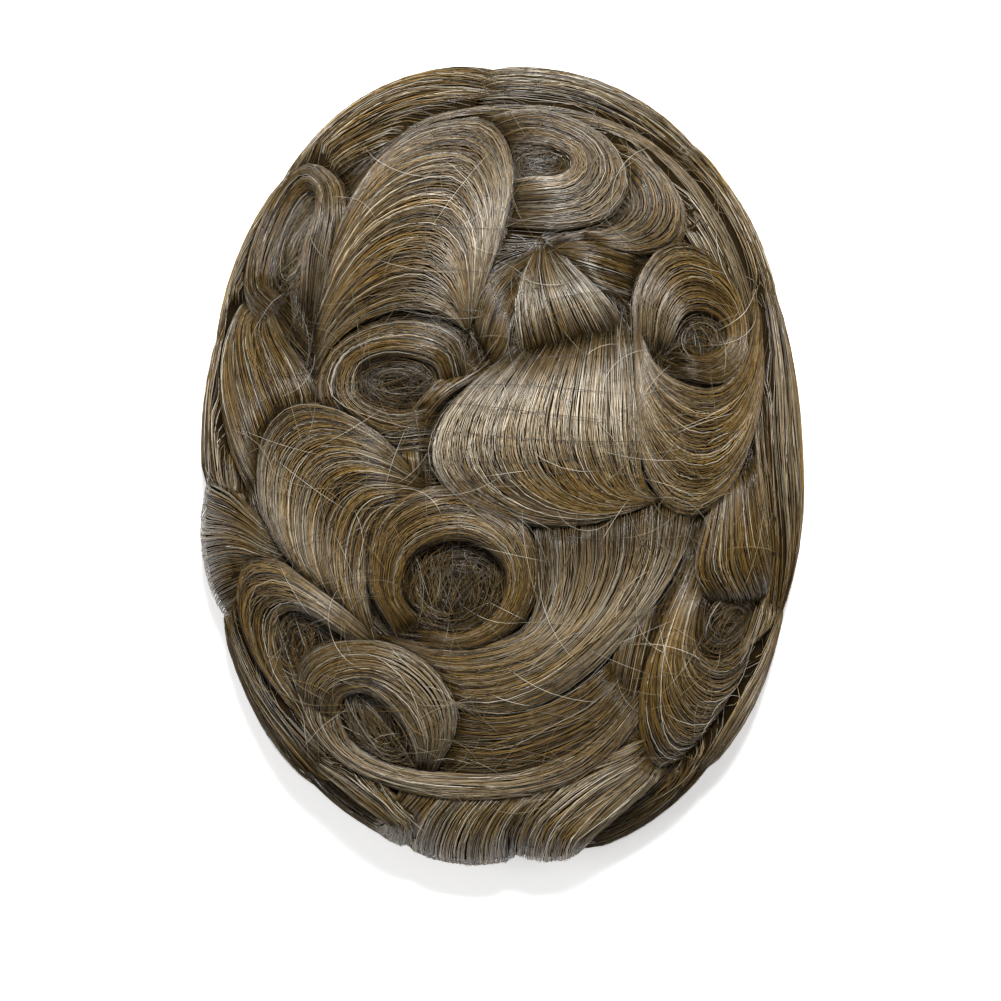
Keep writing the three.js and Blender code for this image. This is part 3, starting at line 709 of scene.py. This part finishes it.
def core_quads(kept):
    """Faces of a core's kept cells, upper and lower, with walls where a neighbour is missing."""
    stride = kept.shape[1] + 1
    under = (kept.shape[0] + 1) * stride
    padded = np.pad(kept, 1)
    quads = []
    for row, cell in np.argwhere(kept):
        p = row * stride + cell
        q, r, s = p + 1, p + stride + 1, p + stride
        quads.append([p, s, r, q])
        quads.append([under + p, under + q, under + r, under + s])
        for neighbour, (m, n) in zip(
                (padded[row, cell + 1], padded[row + 2, cell + 1],
                 padded[row + 1, cell], padded[row + 1, cell + 2]),
                ((p, q), (r, s), (s, p), (q, r))):
            if not neighbour:
                quads.append([m, n, under + n, under + m])
    return quads


def facing_in(points, quads):
    """Whether a closed form's faces point into it."""
    a, b, c, d = (points[quads[:, k]] for k in range(4))
    volume = (a * np.cross(b, c)).sum() + (a * np.cross(c, d)).sum()
    return volume < 0


def strand_colours(rng, count, share, grey):
    """A colour for each hair, lighter and darker in bands that neighbours share."""
    is_grey = rng.uniform(0, 1, count) < grey * (1 + 0.6 * rhythm(rng, share, 9))
    brown = rng.choice(3, count, p=BROWN_SHARES)
    pale = 3 + rng.choice(2, count, p=GREY_SHARES)
    colour = PALETTE[np.where(is_grey, pale, brown)]
    band = 1 + 0.28 * rhythm(rng, share, 7) + 0.12 * rhythm(rng, share, 30)
    own = rng.uniform(0.8, 1.2, count)
    return colour * (band * own)[:, None]


def profile_places(lock, count, rng):
    """Evenly spaced places over a lock's profile: shares across it, and up its two side walls."""
    across = np.linspace(0, 1, 400)
    crown = lock.shape[:, 0].mean() * LOCK_DEPTH
    wall = min(lock.lift, crown)
    roundness = (1 - np.abs(2 * across - 1) ** CROWN_BREADTH) ** SIDE_STEEPNESS
    steps = np.hypot(np.diff(across) * lock.width, np.diff(roundness * (crown - wall)))
    reach = np.concatenate([[0], np.cumsum(steps)])
    thinned = wall * WALL_DENSITY
    girth = reach[-1] + 2 * thinned
    wanted = (np.arange(count) + rng.uniform(0, 1, count)) / count * girth
    up = np.minimum(np.minimum(wanted, girth - wanted) / thinned, 1)
    return np.interp(wanted - thinned, reach, across), up, girth


def visible_runs(hidden):
    """First and last sample of each stretch of a strand that isn't hidden."""
    shown = np.concatenate([[False], ~hidden, [False]])
    edges = np.flatnonzero(shown[1:] != shown[:-1])
    return zip(edges[::2], edges[1::2] - 1)


def swayed(lock, rng, way, share, stray):
    """Shares across a lock of hairs that sway as they run along it, the stray ones more."""
    count = len(way)
    swing = np.where(stray, rng.uniform(1, 3.5, count), rng.uniform(0.15, 0.8, count)) * MM
    sway = waves(rng, count, way, lock.length, 110 * MM, 40 * MM) * swing[:, None]
    over = STRAY_REACH * stray[:, None]
    return np.clip(share[:, None] + sway / lock.width, -over, 1 + over)


def tress_relief(lock, rng, way, girth, stray):
    """How far each hair lies over or under its lock's surface, in tresses and layers."""
    count = len(way)
    order = (np.arange(count) / count)[:, None]
    phase = 2 * math.pi * (way * lock.length / DRIFT_LENGTH + rng.uniform())
    drift = TRESS_DRIFT / girth * np.sin(phase)
    groove = BROAD_GROOVE * rhythm(rng, order + drift, girth / BROAD_TRESS)
    groove += FINE_GROOVE * rhythm(rng, order - drift, girth / FINE_TRESS)
    layer = np.where(stray, rng.uniform(0.1, 1.1, count), rng.uniform(-0.5, 0.2, count))
    wobble = waves(rng, count, way, lock.length, 80 * MM, 36 * MM) * 0.5
    return (groove + layer[:, None] + wobble) * MM


def combed_height(lock, surface, place, way, across, up, relief):
    """Heights of a lock's hairs, calmer near the outline and under whatever lies on them."""
    reach = plan_reach(place)
    offset = relief * np.clip((1.8 - reach) / 0.6, 0.25, 1)
    height = lock.height(way, across) * up[:, None] + offset
    ceiling = surface.read(surface.ceiling, place) + 0.5 * offset
    if lock.on_rim:
        held = RIM_HOLD * np.clip((reach - HOLD_START) / HOLD_SPAN, 0, 1)
        ceiling = np.maximum(ceiling, height * held)
    bare_wall = lock.on_rim & (up < 1)
    height = np.where(bare_wall[:, None], height, np.minimum(height, ceiling))
    return np.maximum(smoothed(height), 0.1 * MM)


def add_strands(hair, lock, surface, rng, look):
    """Combed hairs along a lock, dipping under whatever lies on it."""
    girth = profile_places(lock, 1, rng)[2]
    count = round(girth / (STRAND_SPACING / look.get("density", 1)))
    share, up, _ = profile_places(lock, count, rng)
    way = np.linspace(-lock.reach, 1 + lock.reach, SAMPLES)[None, :].repeat(count, axis=0)
    stray = rng.uniform(0, 1, count) < STRAY_SHARE
    across = swayed(lock, rng, way, share, stray)
    place = lock.place(way, across)
    relief = tress_relief(lock, rng, way, girth, stray)
    height = combed_height(lock, surface, place, way, across, up, relief)
    colours = strand_colours(rng, count, np.arange(count) / count, look.get("grey", USUAL_GREY))
    # Painted highlight: a pale band across the lock from its look, mixed into some hairs' colour.
    centre, width, strength = look.get("band", (0.5, 1, 0))
    band = np.exp(-((way - centre - rng.normal(0, 0.03, (count, 1))) / width) ** 2)
    sheen = strength * band * rng.uniform(0.1, 1, (count, 1)) ** 2
    # Painted shade darkens the hairs that lie low, and the band adds the painted highlight.
    colours = with_painted_light(colours * look.get("light", 1), height, sheen)
    thick = STRAND_RADIUS * rng.uniform(0.7, 1.2, count) * np.where(stray, 0.75, 1)
    trims = rng.uniform(0, 1.1, (count, 2)) * lock.reach / (1 + 2 * lock.reach)
    lay_strands(hair, place, height, surface.hides(place), colours, thick, trims)


def with_painted_light(colours, height, sheen=0):
    """Colours along each hair with painted light: painted shade where it lies low, and a painted
    highlight mixed in by a share.
    """
    raised = np.clip(height / LOCK_DEPTH, 0, 1)[..., None]
    colour = colours[:, None, :] * (LIGHTNESS_IN_PAINTED_SHADE + (1 - LIGHTNESS_IN_PAINTED_SHADE) * raised)
    sheen = np.broadcast_to(sheen, height.shape)[..., None]
    # The share mixes in the painted highlight colour.
    return colour + (np.array(PAINTED_HIGHLIGHT_COLOUR) - colour) * sheen


def add_skirts(hair, lock, surface, rng):
    """Low hairs beside a lock and past its ends, in the gaps that no lock covers."""
    count = round(2 * SKIRT_WIDTH / SKIRT_SPACING)
    out = rng.uniform(-0.5, 1, count) * SKIRT_WIDTH / lock.width
    across = np.where(np.arange(count) % 2 == 0, -out, 1 + out)[:, None]
    way = np.linspace(-0.15, 1.15, SAMPLES)[None, :].repeat(count, axis=0)
    sway = waves(rng, count, way, lock.length, 90 * MM, 40 * MM) * rng.uniform(0.3, 2, (count, 1))
    place = lock.place(way, across + sway * MM / lock.width)
    height = rng.uniform(0.3, 2.2, (count, 1)) * MM
    height = smoothed(np.minimum(height + 0 * way, surface.read(surface.ceiling, place)))
    hidden = surface.hides(place) | (plan_reach(place) > FOOT_REACH)
    # Painted shade: these low hairs are darkened by their height.
    colours = with_painted_light(strand_colours(rng, count, rng.uniform(0, 1, count), USUAL_GREY), height)
    thick = STRAND_RADIUS * rng.uniform(0.7, 1.1, count)
    lay_strands(hair, place, height, hidden, colours, thick)


def summed_runs(points):
    """Length and turning of each hair, summed from its first sample on."""
    steps = np.diff(points, axis=1)
    lengths = np.linalg.norm(steps, axis=2)
    heading = steps / np.maximum(lengths, 1e-9)[..., None]
    turns = np.arccos(np.clip((heading[:, 1:] * heading[:, :-1]).sum(axis=2), -1, 1))
    return (np.pad(lengths.cumsum(axis=1), ((0, 0), (1, 0))),
            np.pad(turns.cumsum(axis=1), ((0, 0), (1, 1)), mode="edge"))


def lay_strands(hair, place, height, hidden, colours, thick, trims=0):
    """Adds the visible stretches of sampled hairs, with enough segments for length and bend."""
    lengths, turns = summed_runs(hair_point(place, height))
    count, samples = place.shape[:2]
    trims = np.broadcast_to(trims, (count, 2))
    for number in range(count):
        for first, last in visible_runs(hidden[number]):
            start = max(first, trims[number, 0] * samples)
            end = min(last, (1 - trims[number, 1]) * (samples - 1))
            if end - start < 2:
                continue
            run = lengths[number, int(end)] - lengths[number, int(start)]
            if run < SHORTEST_RUN:
                continue
            turn = turns[number, int(end)] - turns[number, int(start)]
            wanted = round(run / SEGMENT_LENGTH + turn / SEGMENT_TURN)
            segments = int(np.clip(wanted, FEWEST_SEGMENTS, MOST_SEGMENTS))
            spots = np.linspace(start, end, segments + 1)
            index = np.minimum(spots.astype(int), samples - 2)
            part = (spots - index)[:, None]
            here, high, colour = (
                values[number, index] * (1 - part) + values[number, index + 1] * part
                for values in (place, height[..., None], colours))
            from_end = np.minimum(np.arange(segments + 1), np.arange(segments, -1, -1))
            taper = np.minimum(1, 0.35 + 3 * from_end / segments)
            hair.add_strand(hair_point(here, high[:, 0]), thick[number] * taper, colour)


def eye_paths(rng, way, count, turn, combed, heading):
    """Paths that wind inwards in a circle of radius 1, and which of them lie across it."""
    begin = rng.uniform(0, 2 * math.pi, (count, 1))
    sweep = rng.uniform(1.0, 3.2, (count, 1))
    reach = rng.uniform(0.25, 1.12, (count, 1))
    spiral = reach * (1 - rng.uniform(0.1, 0.55, (count, 1)) * way)
    angle = begin + turn * sweep * way
    x, y = spiral * np.cos(angle), spiral * np.sin(angle)
    across = rng.uniform(0, 1, count) < combed
    slant = rng.normal(0, 0.3, (count, 1)) + math.radians(heading)
    along = (way - 0.5) * rng.uniform(0.7, 1.8, (count, 1))
    side = rng.uniform(-0.8, 0.8, (count, 1)) + rng.normal(0, 0.35, (count, 1)) * along ** 2
    x[across] = (along * np.cos(slant) - side * np.sin(slant))[across]
    y[across] = (along * np.sin(slant) + side * np.cos(slant))[across]
    return x, y, across


def add_hollow(hair, hollow, surface, rng):
    """Hairs winding down into the eye of a curl, with some lying across it."""
    middle_x, middle_y, wide, high, tilt, turn, count, grey, combed, heading = hollow
    way = np.linspace(0, 1, 25)[None, :]
    x, y, across = eye_paths(rng, way, count, turn, combed, heading)
    cos, sin = math.cos(math.radians(tilt)), math.sin(math.radians(tilt))
    place = unroll(np.stack([middle_x + wide * x * cos - high * y * sin,
                             middle_y + wide * x * sin + high * y * cos], axis=-1))
    rim = np.clip(np.hypot(x, y), 0, 1.2)
    depth = rng.uniform(0.2, 1, (count, 1))
    height = (0.4 + 4.2 * depth * rim ** 1.5 + 0.6 * rng.uniform(0, 1, (count, 1))) * MM
    height[across] += 1.2 * MM * np.sin(math.pi * way)
    height = smoothed(np.minimum(height, surface.read(surface.ceiling, place)))
    # Painted shade: hairs deep in the eye are darkened by their height.
    colours = with_painted_light(strand_colours(rng, count, rng.uniform(0, 1, count), grey), height)
    thick = STRAND_RADIUS * rng.uniform(0.6, 1, count)
    lay_strands(hair, place, height, surface.hides(place), colours, thick)


def add_bed_hairs(hair, surface, rng):
    """Short combed-down hairs from the crown whorl outwards, where no lock lies over them."""
    spread = rng.uniform(-1, 1, (BED_HAIRS * 6, 2)) * math.pi * 0.9
    open_cells = ~surface.covered[surface.cells(spread)]
    place = spread[open_cells & (plan_reach(spread) < FOOT_REACH)][:BED_HAIRS]
    count, samples = len(place), 15
    outward = place - unroll([WHORL])
    heading = np.arctan2(outward[:, 1], outward[:, 0]) + rng.normal(0, 0.3, count)
    way = np.linspace(-0.5, 0.5, samples)[None, :]
    bend = rng.normal(0, 0.5, (count, 1))
    length = rng.uniform(0.12, 0.3, (count, 1))
    angle = heading[:, None] + bend * way
    path = place[:, None, :] + np.stack(
        [np.cos(angle) * way * length, np.sin(angle) * way * length], axis=-1)
    height = rng.uniform(0.2, 1.8, (count, 1)) * MM + 0.6 * MM * np.cos(math.pi * way)
    height = np.minimum(height, surface.read(surface.ceiling, path))
    # Painted shade: these low hairs are darkened by their height.
    colours = with_painted_light(strand_colours(rng, count, rng.uniform(0, 1, count), USUAL_GREY), height)
    thick = STRAND_RADIUS * rng.uniform(0.7, 1.1, count)
    lay_strands(hair, path, height, surface.hides(path), colours, thick)


def base_point(place, margin, rim_angle):
    """Points of the base's dome, grown by margin, at shares of the way from its top to its rim."""
    reach = np.maximum(plan_reach(place), 1e-9)
    along = place / reach[..., None]
    angle = reach * rim_angle
    half_wide = (base_high.x - base_low.x) / 2 + margin
    half_long = (base_high.y - base_low.y) / 2 + margin
    return np.stack([
        CENTRE_X + half_wide * np.sin(angle) * along[..., 0],
        CENTRE_Y + half_long * np.sin(angle) * along[..., 1],
        (base_high.z + margin) * np.cos(angle)], axis=-1)


def disc_places(cells):
    """A square grid bent to fill the plan outline, at shares of the way out."""
    line = np.linspace(-1, 1, cells + 1)
    square = np.stack(np.meshgrid(line, line, indexing="ij"), axis=-1)
    out = np.abs(square).max(axis=-1, keepdims=True)
    return square * out / np.maximum(plan_reach(square)[..., None], 1e-9)


def shell_quads(cells):
    """Faces of a closed shell between two square grids of points, upper and then lower."""
    stride = cells + 1
    under = stride * stride
    quads = []
    for row in range(cells):
        for cell in range(cells):
            p = row * stride + cell
            quads.append([p, p + stride, p + stride + 1, p + 1])
            quads.append([under + p, under + p + 1, under + p + stride + 1, under + p + stride])
    edge = ([(k, 0) for k in range(cells)] + [(cells, k) for k in range(cells)]
            + [(cells - k, cells) for k in range(cells)] + [(0, cells - k) for k in range(cells)])
    ring = [row * stride + cell for row, cell in edge]
    for p, q in zip(ring, ring[1:] + ring[:1]):
        quads.append([p, under + p, under + q, q])
    return quads


def add_shell(hair, upper, lower, colour):
    """A closed shell between two square grids of points."""
    cells = upper.shape[0] - 1
    points = np.vstack([upper.reshape(-1, 3), lower.reshape(-1, 3)])
    quads = np.array(shell_quads(cells))
    if facing_in(points, quads):
        quads = quads[:, ::-1]
    hair.add_surface(points, quads, colour, quad_cells(len(quads)))


def quad_cells(count):
    """A small square of the bake map's left strip for each of so many quads."""
    side = math.ceil(math.sqrt(count))
    number = np.arange(count)
    corner = np.stack([number % side, number // side], axis=-1)[:, None, :]
    box = np.array([[0.1, 0.1], [0.9, 0.1], [0.9, 0.9], [0.1, 0.9]])
    return (corner + box) / side * np.array([SURFACE_STRIP, 1])


def make_bed(surface, locks, material):
    """The combed-down hair under the locks, and the hairs in their gaps and eyes."""
    rng = np.random.default_rng(77)
    hair = HairMesh()
    share = disc_places(44)
    lowest = math.pi / 2 + math.asin((WIDEST_LEVEL - BED_FOOT) / (WIDEST_LEVEL - LOCK_FOOT))
    upper = hair_point(share * lowest, np.zeros(share.shape[:2]))
    rim_angle = math.acos(BED_FOOT / (base_high.z + CLEARANCE))
    # The shell under the locks is dark with painted shade.
    add_shell(hair, upper, base_point(share, CLEARANCE, rim_angle), CORE_PAINTED_SHADE_COLOUR)
    add_bed_hairs(hair, surface, rng)
    for lock in locks:
        add_skirts(hair, lock, surface, rng)
    for hollow in HOLLOWS:
        add_hollow(hair, hollow, surface, rng)
    piece = hair.build("under_hair_bed", material)
    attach(piece, "root")
    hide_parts("hair_bed")


def make_base(material):
    """The thin domed film that the hair is tied to, open below."""
    hair = HairMesh()
    share = disc_places(56)
    outer = base_point(share, 0, math.pi / 2)
    inner = base_point(share, -FILM_THICKNESS, math.pi / 2)
    add_shell(hair, outer, inner, FILM_COLOUR)
    piece = hair.build("base_film", material)
    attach(piece, "root")
    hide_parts("base_cap")


def neighbours(values, reach):
    """Each value's neighbours along its path, stacked."""
    count = values.shape[1]
    padded = np.pad(values, ((0, 0), (reach, reach)), mode="edge")
    return np.stack([padded[:, k:k + count] for k in range(2 * reach + 1)])


def surface_paths(surface, plan, lift):
    """Places along plan paths, and heights that ride over the locks and bridge their gaps."""
    place = unroll(plan)
    top = surface.read(surface.top, place)
    around = neighbours(top, 3)
    high = around.max(axis=0) * 0.6 + around.mean(axis=0) * 0.4
    return place, np.maximum(neighbours(high, 3).mean(axis=0), top) + lift


def add_loose_hairs(hair, surface, rng, samples):
    """Fly-away hairs that ride over the locks, bent at random."""
    way = np.linspace(0, 1, samples)[None, :]
    begin = rng.uniform(-80, 80, (LOOSE_HAIRS, 1, 2)) * np.array([1, 1.05])
    heading = rng.uniform(0, 2 * math.pi, (LOOSE_HAIRS, 1))
    bend = rng.normal(0, 0.9, (LOOSE_HAIRS, 1))
    length = rng.uniform(12, 36, (LOOSE_HAIRS, 1))
    angle = heading + bend * way
    step = np.stack([np.cos(angle), np.sin(angle) * HALF_WIDTH / HALF_LENGTH], axis=-1)
    plan = begin + np.cumsum(step, axis=1) * (length / samples)[..., None]
    inside = plan_reach(plan / 100).max(axis=1) < 0.97
    lift = rng.uniform(0.6, 1.8, (LOOSE_HAIRS, 1)) * MM * np.sin(math.pi * way)
    place, height = surface_paths(surface, plan, lift)
    colours = strand_colours(rng, LOOSE_HAIRS, rng.uniform(0, 1, LOOSE_HAIRS), 0.6)
    thick = STRAND_RADIUS * rng.uniform(0.5, 0.7, LOOSE_HAIRS)
    place, height = place[inside], np.minimum(height[inside], 1.08 * LOCK_DEPTH)
    # Painted shade by height, as for the other hairs.
    lay_strands(hair, place, height, np.zeros(height.shape, bool),
                with_painted_light(colours[inside], height), thick[inside])


def add_net(hair, surface, samples):
    """The fine dark threads of the net that holds the locks."""
    threads = np.array([[(start + (end - start) * share,
                          level + 2.5 * math.sin(2.2 * share + number))
                         for share in np.linspace(0, 1, samples)]
                        for number, (level, start, end) in enumerate(NET_THREADS)])
    place, height = surface_paths(surface, threads, 1.05 * MM)
    colours = np.tile(NET_COLOUR, (*height.shape, 1))
    lay_strands(hair, place, height, np.zeros(height.shape, bool), colours,
                np.full(len(threads), NET_RADIUS))


def make_loose_hairs(surface, material):
    """Fly-away hairs over the locks, and the net."""
    rng = np.random.default_rng(5)
    hair = HairMesh()
    samples = 41
    add_loose_hairs(hair, surface, rng, samples)
    add_net(hair, surface, samples)
    piece = hair.build("loose_hairs", material)
    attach(piece, "root")


def set_inputs(node, **values):
    """Sets a node's sockets, named with _ for each space, or links them to other sockets."""
    for name, value in values.items():
        socket = node.inputs[name.replace("_", " ")]
        if isinstance(value, bpy.types.NodeSocket):
            node.id_data.links.new(value, socket)
        else:
            socket.default_value = value


def new_material(name):
    """A new material and its shader."""
    material = bpy.data.materials.new(name)
    material.use_nodes = True
    return material, material.node_tree.nodes["Principled BSDF"]


def add_node(material, kind, settings=(), **values):
    """A new node of a material, with its settings, and values or links on its sockets."""
    node = material.node_tree.nodes.new("ShaderNode" + kind)
    for name, value in dict(settings).items():
        setattr(node, name, value)
    set_inputs(node, **values)
    return node


def hair_material():
    """Hair: each strand's colour with its painted shade and painted highlight, mottled along it,
    with a broken sheen and fine ridges.
    """
    material, shader = new_material("combed_hair")
    tint = add_node(material, "Attribute", {"attribute_name": "colour_and_painted_light"}).outputs
    where = add_node(material, "TexCoord").outputs["Object"]
    mottle = add_node(material, "TexNoise", Vector=where, Scale=260, Detail=3).outputs["Fac"]
    strength = add_node(material, "MapRange", Value=mottle, From_Min=0.3, From_Max=0.7,
                        To_Min=0.86, To_Max=1.14)
    shade = add_node(material, "VectorMath", {"operation": "SCALE"}, Vector=tint["Color"],
                     Scale=strength.outputs["Result"])
    sheen = add_node(material, "MapRange", Value=mottle, From_Min=0.3, From_Max=0.7,
                     To_Min=HAIR_ROUGHNESS - 0.08, To_Max=HAIR_ROUGHNESS + 0.1)
    finish = add_node(material, "Mix", Factor=tint["Alpha"], A=1, B=sheen.outputs["Result"])
    gloss = add_node(material, "Math", {"operation": "MULTIPLY"}, Value=tint["Alpha"])
    gloss.inputs[1].default_value = 0.5
    ridges = add_node(material, "TexNoise", Vector=where, Scale=2600)
    bump = add_node(material, "Bump", Strength=0.4, Distance=RIDGE_DEPTH,
                    Height=ridges.outputs["Fac"])
    set_inputs(shader, IOR=1.55, Base_Color=shade.outputs["Vector"],
               Roughness=finish.outputs["Result"], Specular_IOR_Level=gloss.outputs["Value"],
               Normal=bump.outputs["Normal"])
    return material


def film_material():
    """A satin beige skin film, faintly mottled, with the fine dots of the tied hairs."""
    material, shader = new_material("skin_film")
    where = add_node(material, "TexCoord").outputs["Object"]
    mottle = add_node(material, "TexNoise", Vector=where, Scale=90, Detail=4).outputs["Fac"]
    skin = add_node(material, "ValToRGB", Fac=mottle)
    skin.color_ramp.elements[0].color = (0.46, 0.30, 0.20, 1)
    skin.color_ramp.elements[1].color = (0.60, 0.42, 0.30, 1)
    roots = add_node(material, "TexVoronoi", Vector=where, Scale=480).outputs["Distance"]
    dots = add_node(material, "MapRange", Value=roots, From_Min=0.14, From_Max=0.26)
    colour = add_node(material, "Mix", {"data_type": "RGBA"}, Factor=dots.outputs["Result"],
                      A=(0.10, 0.06, 0.035, 1), B=skin.outputs["Color"])
    sheen = add_node(material, "MapRange", Value=mottle, To_Min=0.34, To_Max=0.56)
    bump = add_node(material, "Bump", Strength=0.5, Distance=0.05 * MM, Height=roots)
    set_inputs(shader, Base_Color=colour.outputs["Result"], Roughness=sheen.outputs["Result"],
               Normal=bump.outputs["Normal"])
    return material


def make_floor():
    """A wide white floor that the piece rests on."""
    half = 3
    mesh = bpy.data.meshes.new("floor")
    corners = [(-half, -half, 0), (half, -half, 0), (half, half, 0), (-half, half, 0)]
    mesh.from_pydata(corners, [], [(0, 1, 2, 3)])
    floor = bpy.data.objects.new("floor", mesh)
    material, shader = new_material("floor_white")
    set_inputs(shader, Base_Color=(0.93, 0.93, 0.93, 1), Roughness=0.9,
               Emission_Color=(1, 1, 1, 1), Emission_Strength=0.45)
    mesh.materials.append(material)
    bpy.context.scene.collection.objects.link(floor)


def area_light(name, place, side, power):
    """A square lamp that faces the piece."""
    data = bpy.data.lights.new(name, "AREA")
    data.shape = "SQUARE"
    data.size = side
    data.energy = power
    lamp = bpy.data.objects.new(name, data)
    lamp.location = place
    lamp.rotation_mode = "QUATERNION"
    lamp.rotation_quaternion = (-Vector(place)).to_track_quat("-Z", "Y")
    bpy.context.scene.collection.objects.link(lamp)


def make_light():
    """Soft white light all round, with a key lamp behind the crown and a weak fill."""
    scene = bpy.context.scene
    world = bpy.data.worlds.new("studio")
    world.use_nodes = True
    set_inputs(world.node_tree.nodes["Background"], Color=(1, 1, 1, 1), Strength=ROUND_LIGHT)
    scene.world = world
    scene.view_settings.view_transform = "Standard"
    for lamp in LAMPS:
        area_light(*lamp)


def make_locks(surface, material):
    """A piece of hair for each lock, from the uppermost down."""
    locks = []
    for number, (name, (lift, rows)) in enumerate(LOCKS.items()):
        lock = Lock(lift, rows)
        rng = np.random.default_rng(1000 + number)
        hair = HairMesh()
        add_core(hair, lock, surface)
        add_strands(hair, lock, surface, rng, LOOKS.get(name, {}))
        piece = hair.build(name + "_hair", material)
        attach(piece, "root")
        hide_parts(name)
        surface.cover(lock)
        locks.append(lock)
    return locks


make_camera()
make_floor()
make_light()
hair_finish = hair_material()
surface_map = SurfaceMap()
all_locks = make_locks(surface_map, hair_finish)
make_bed(surface_map, all_locks, hair_finish)
make_base(film_material())
make_loose_hairs(surface_map, hair_finish)
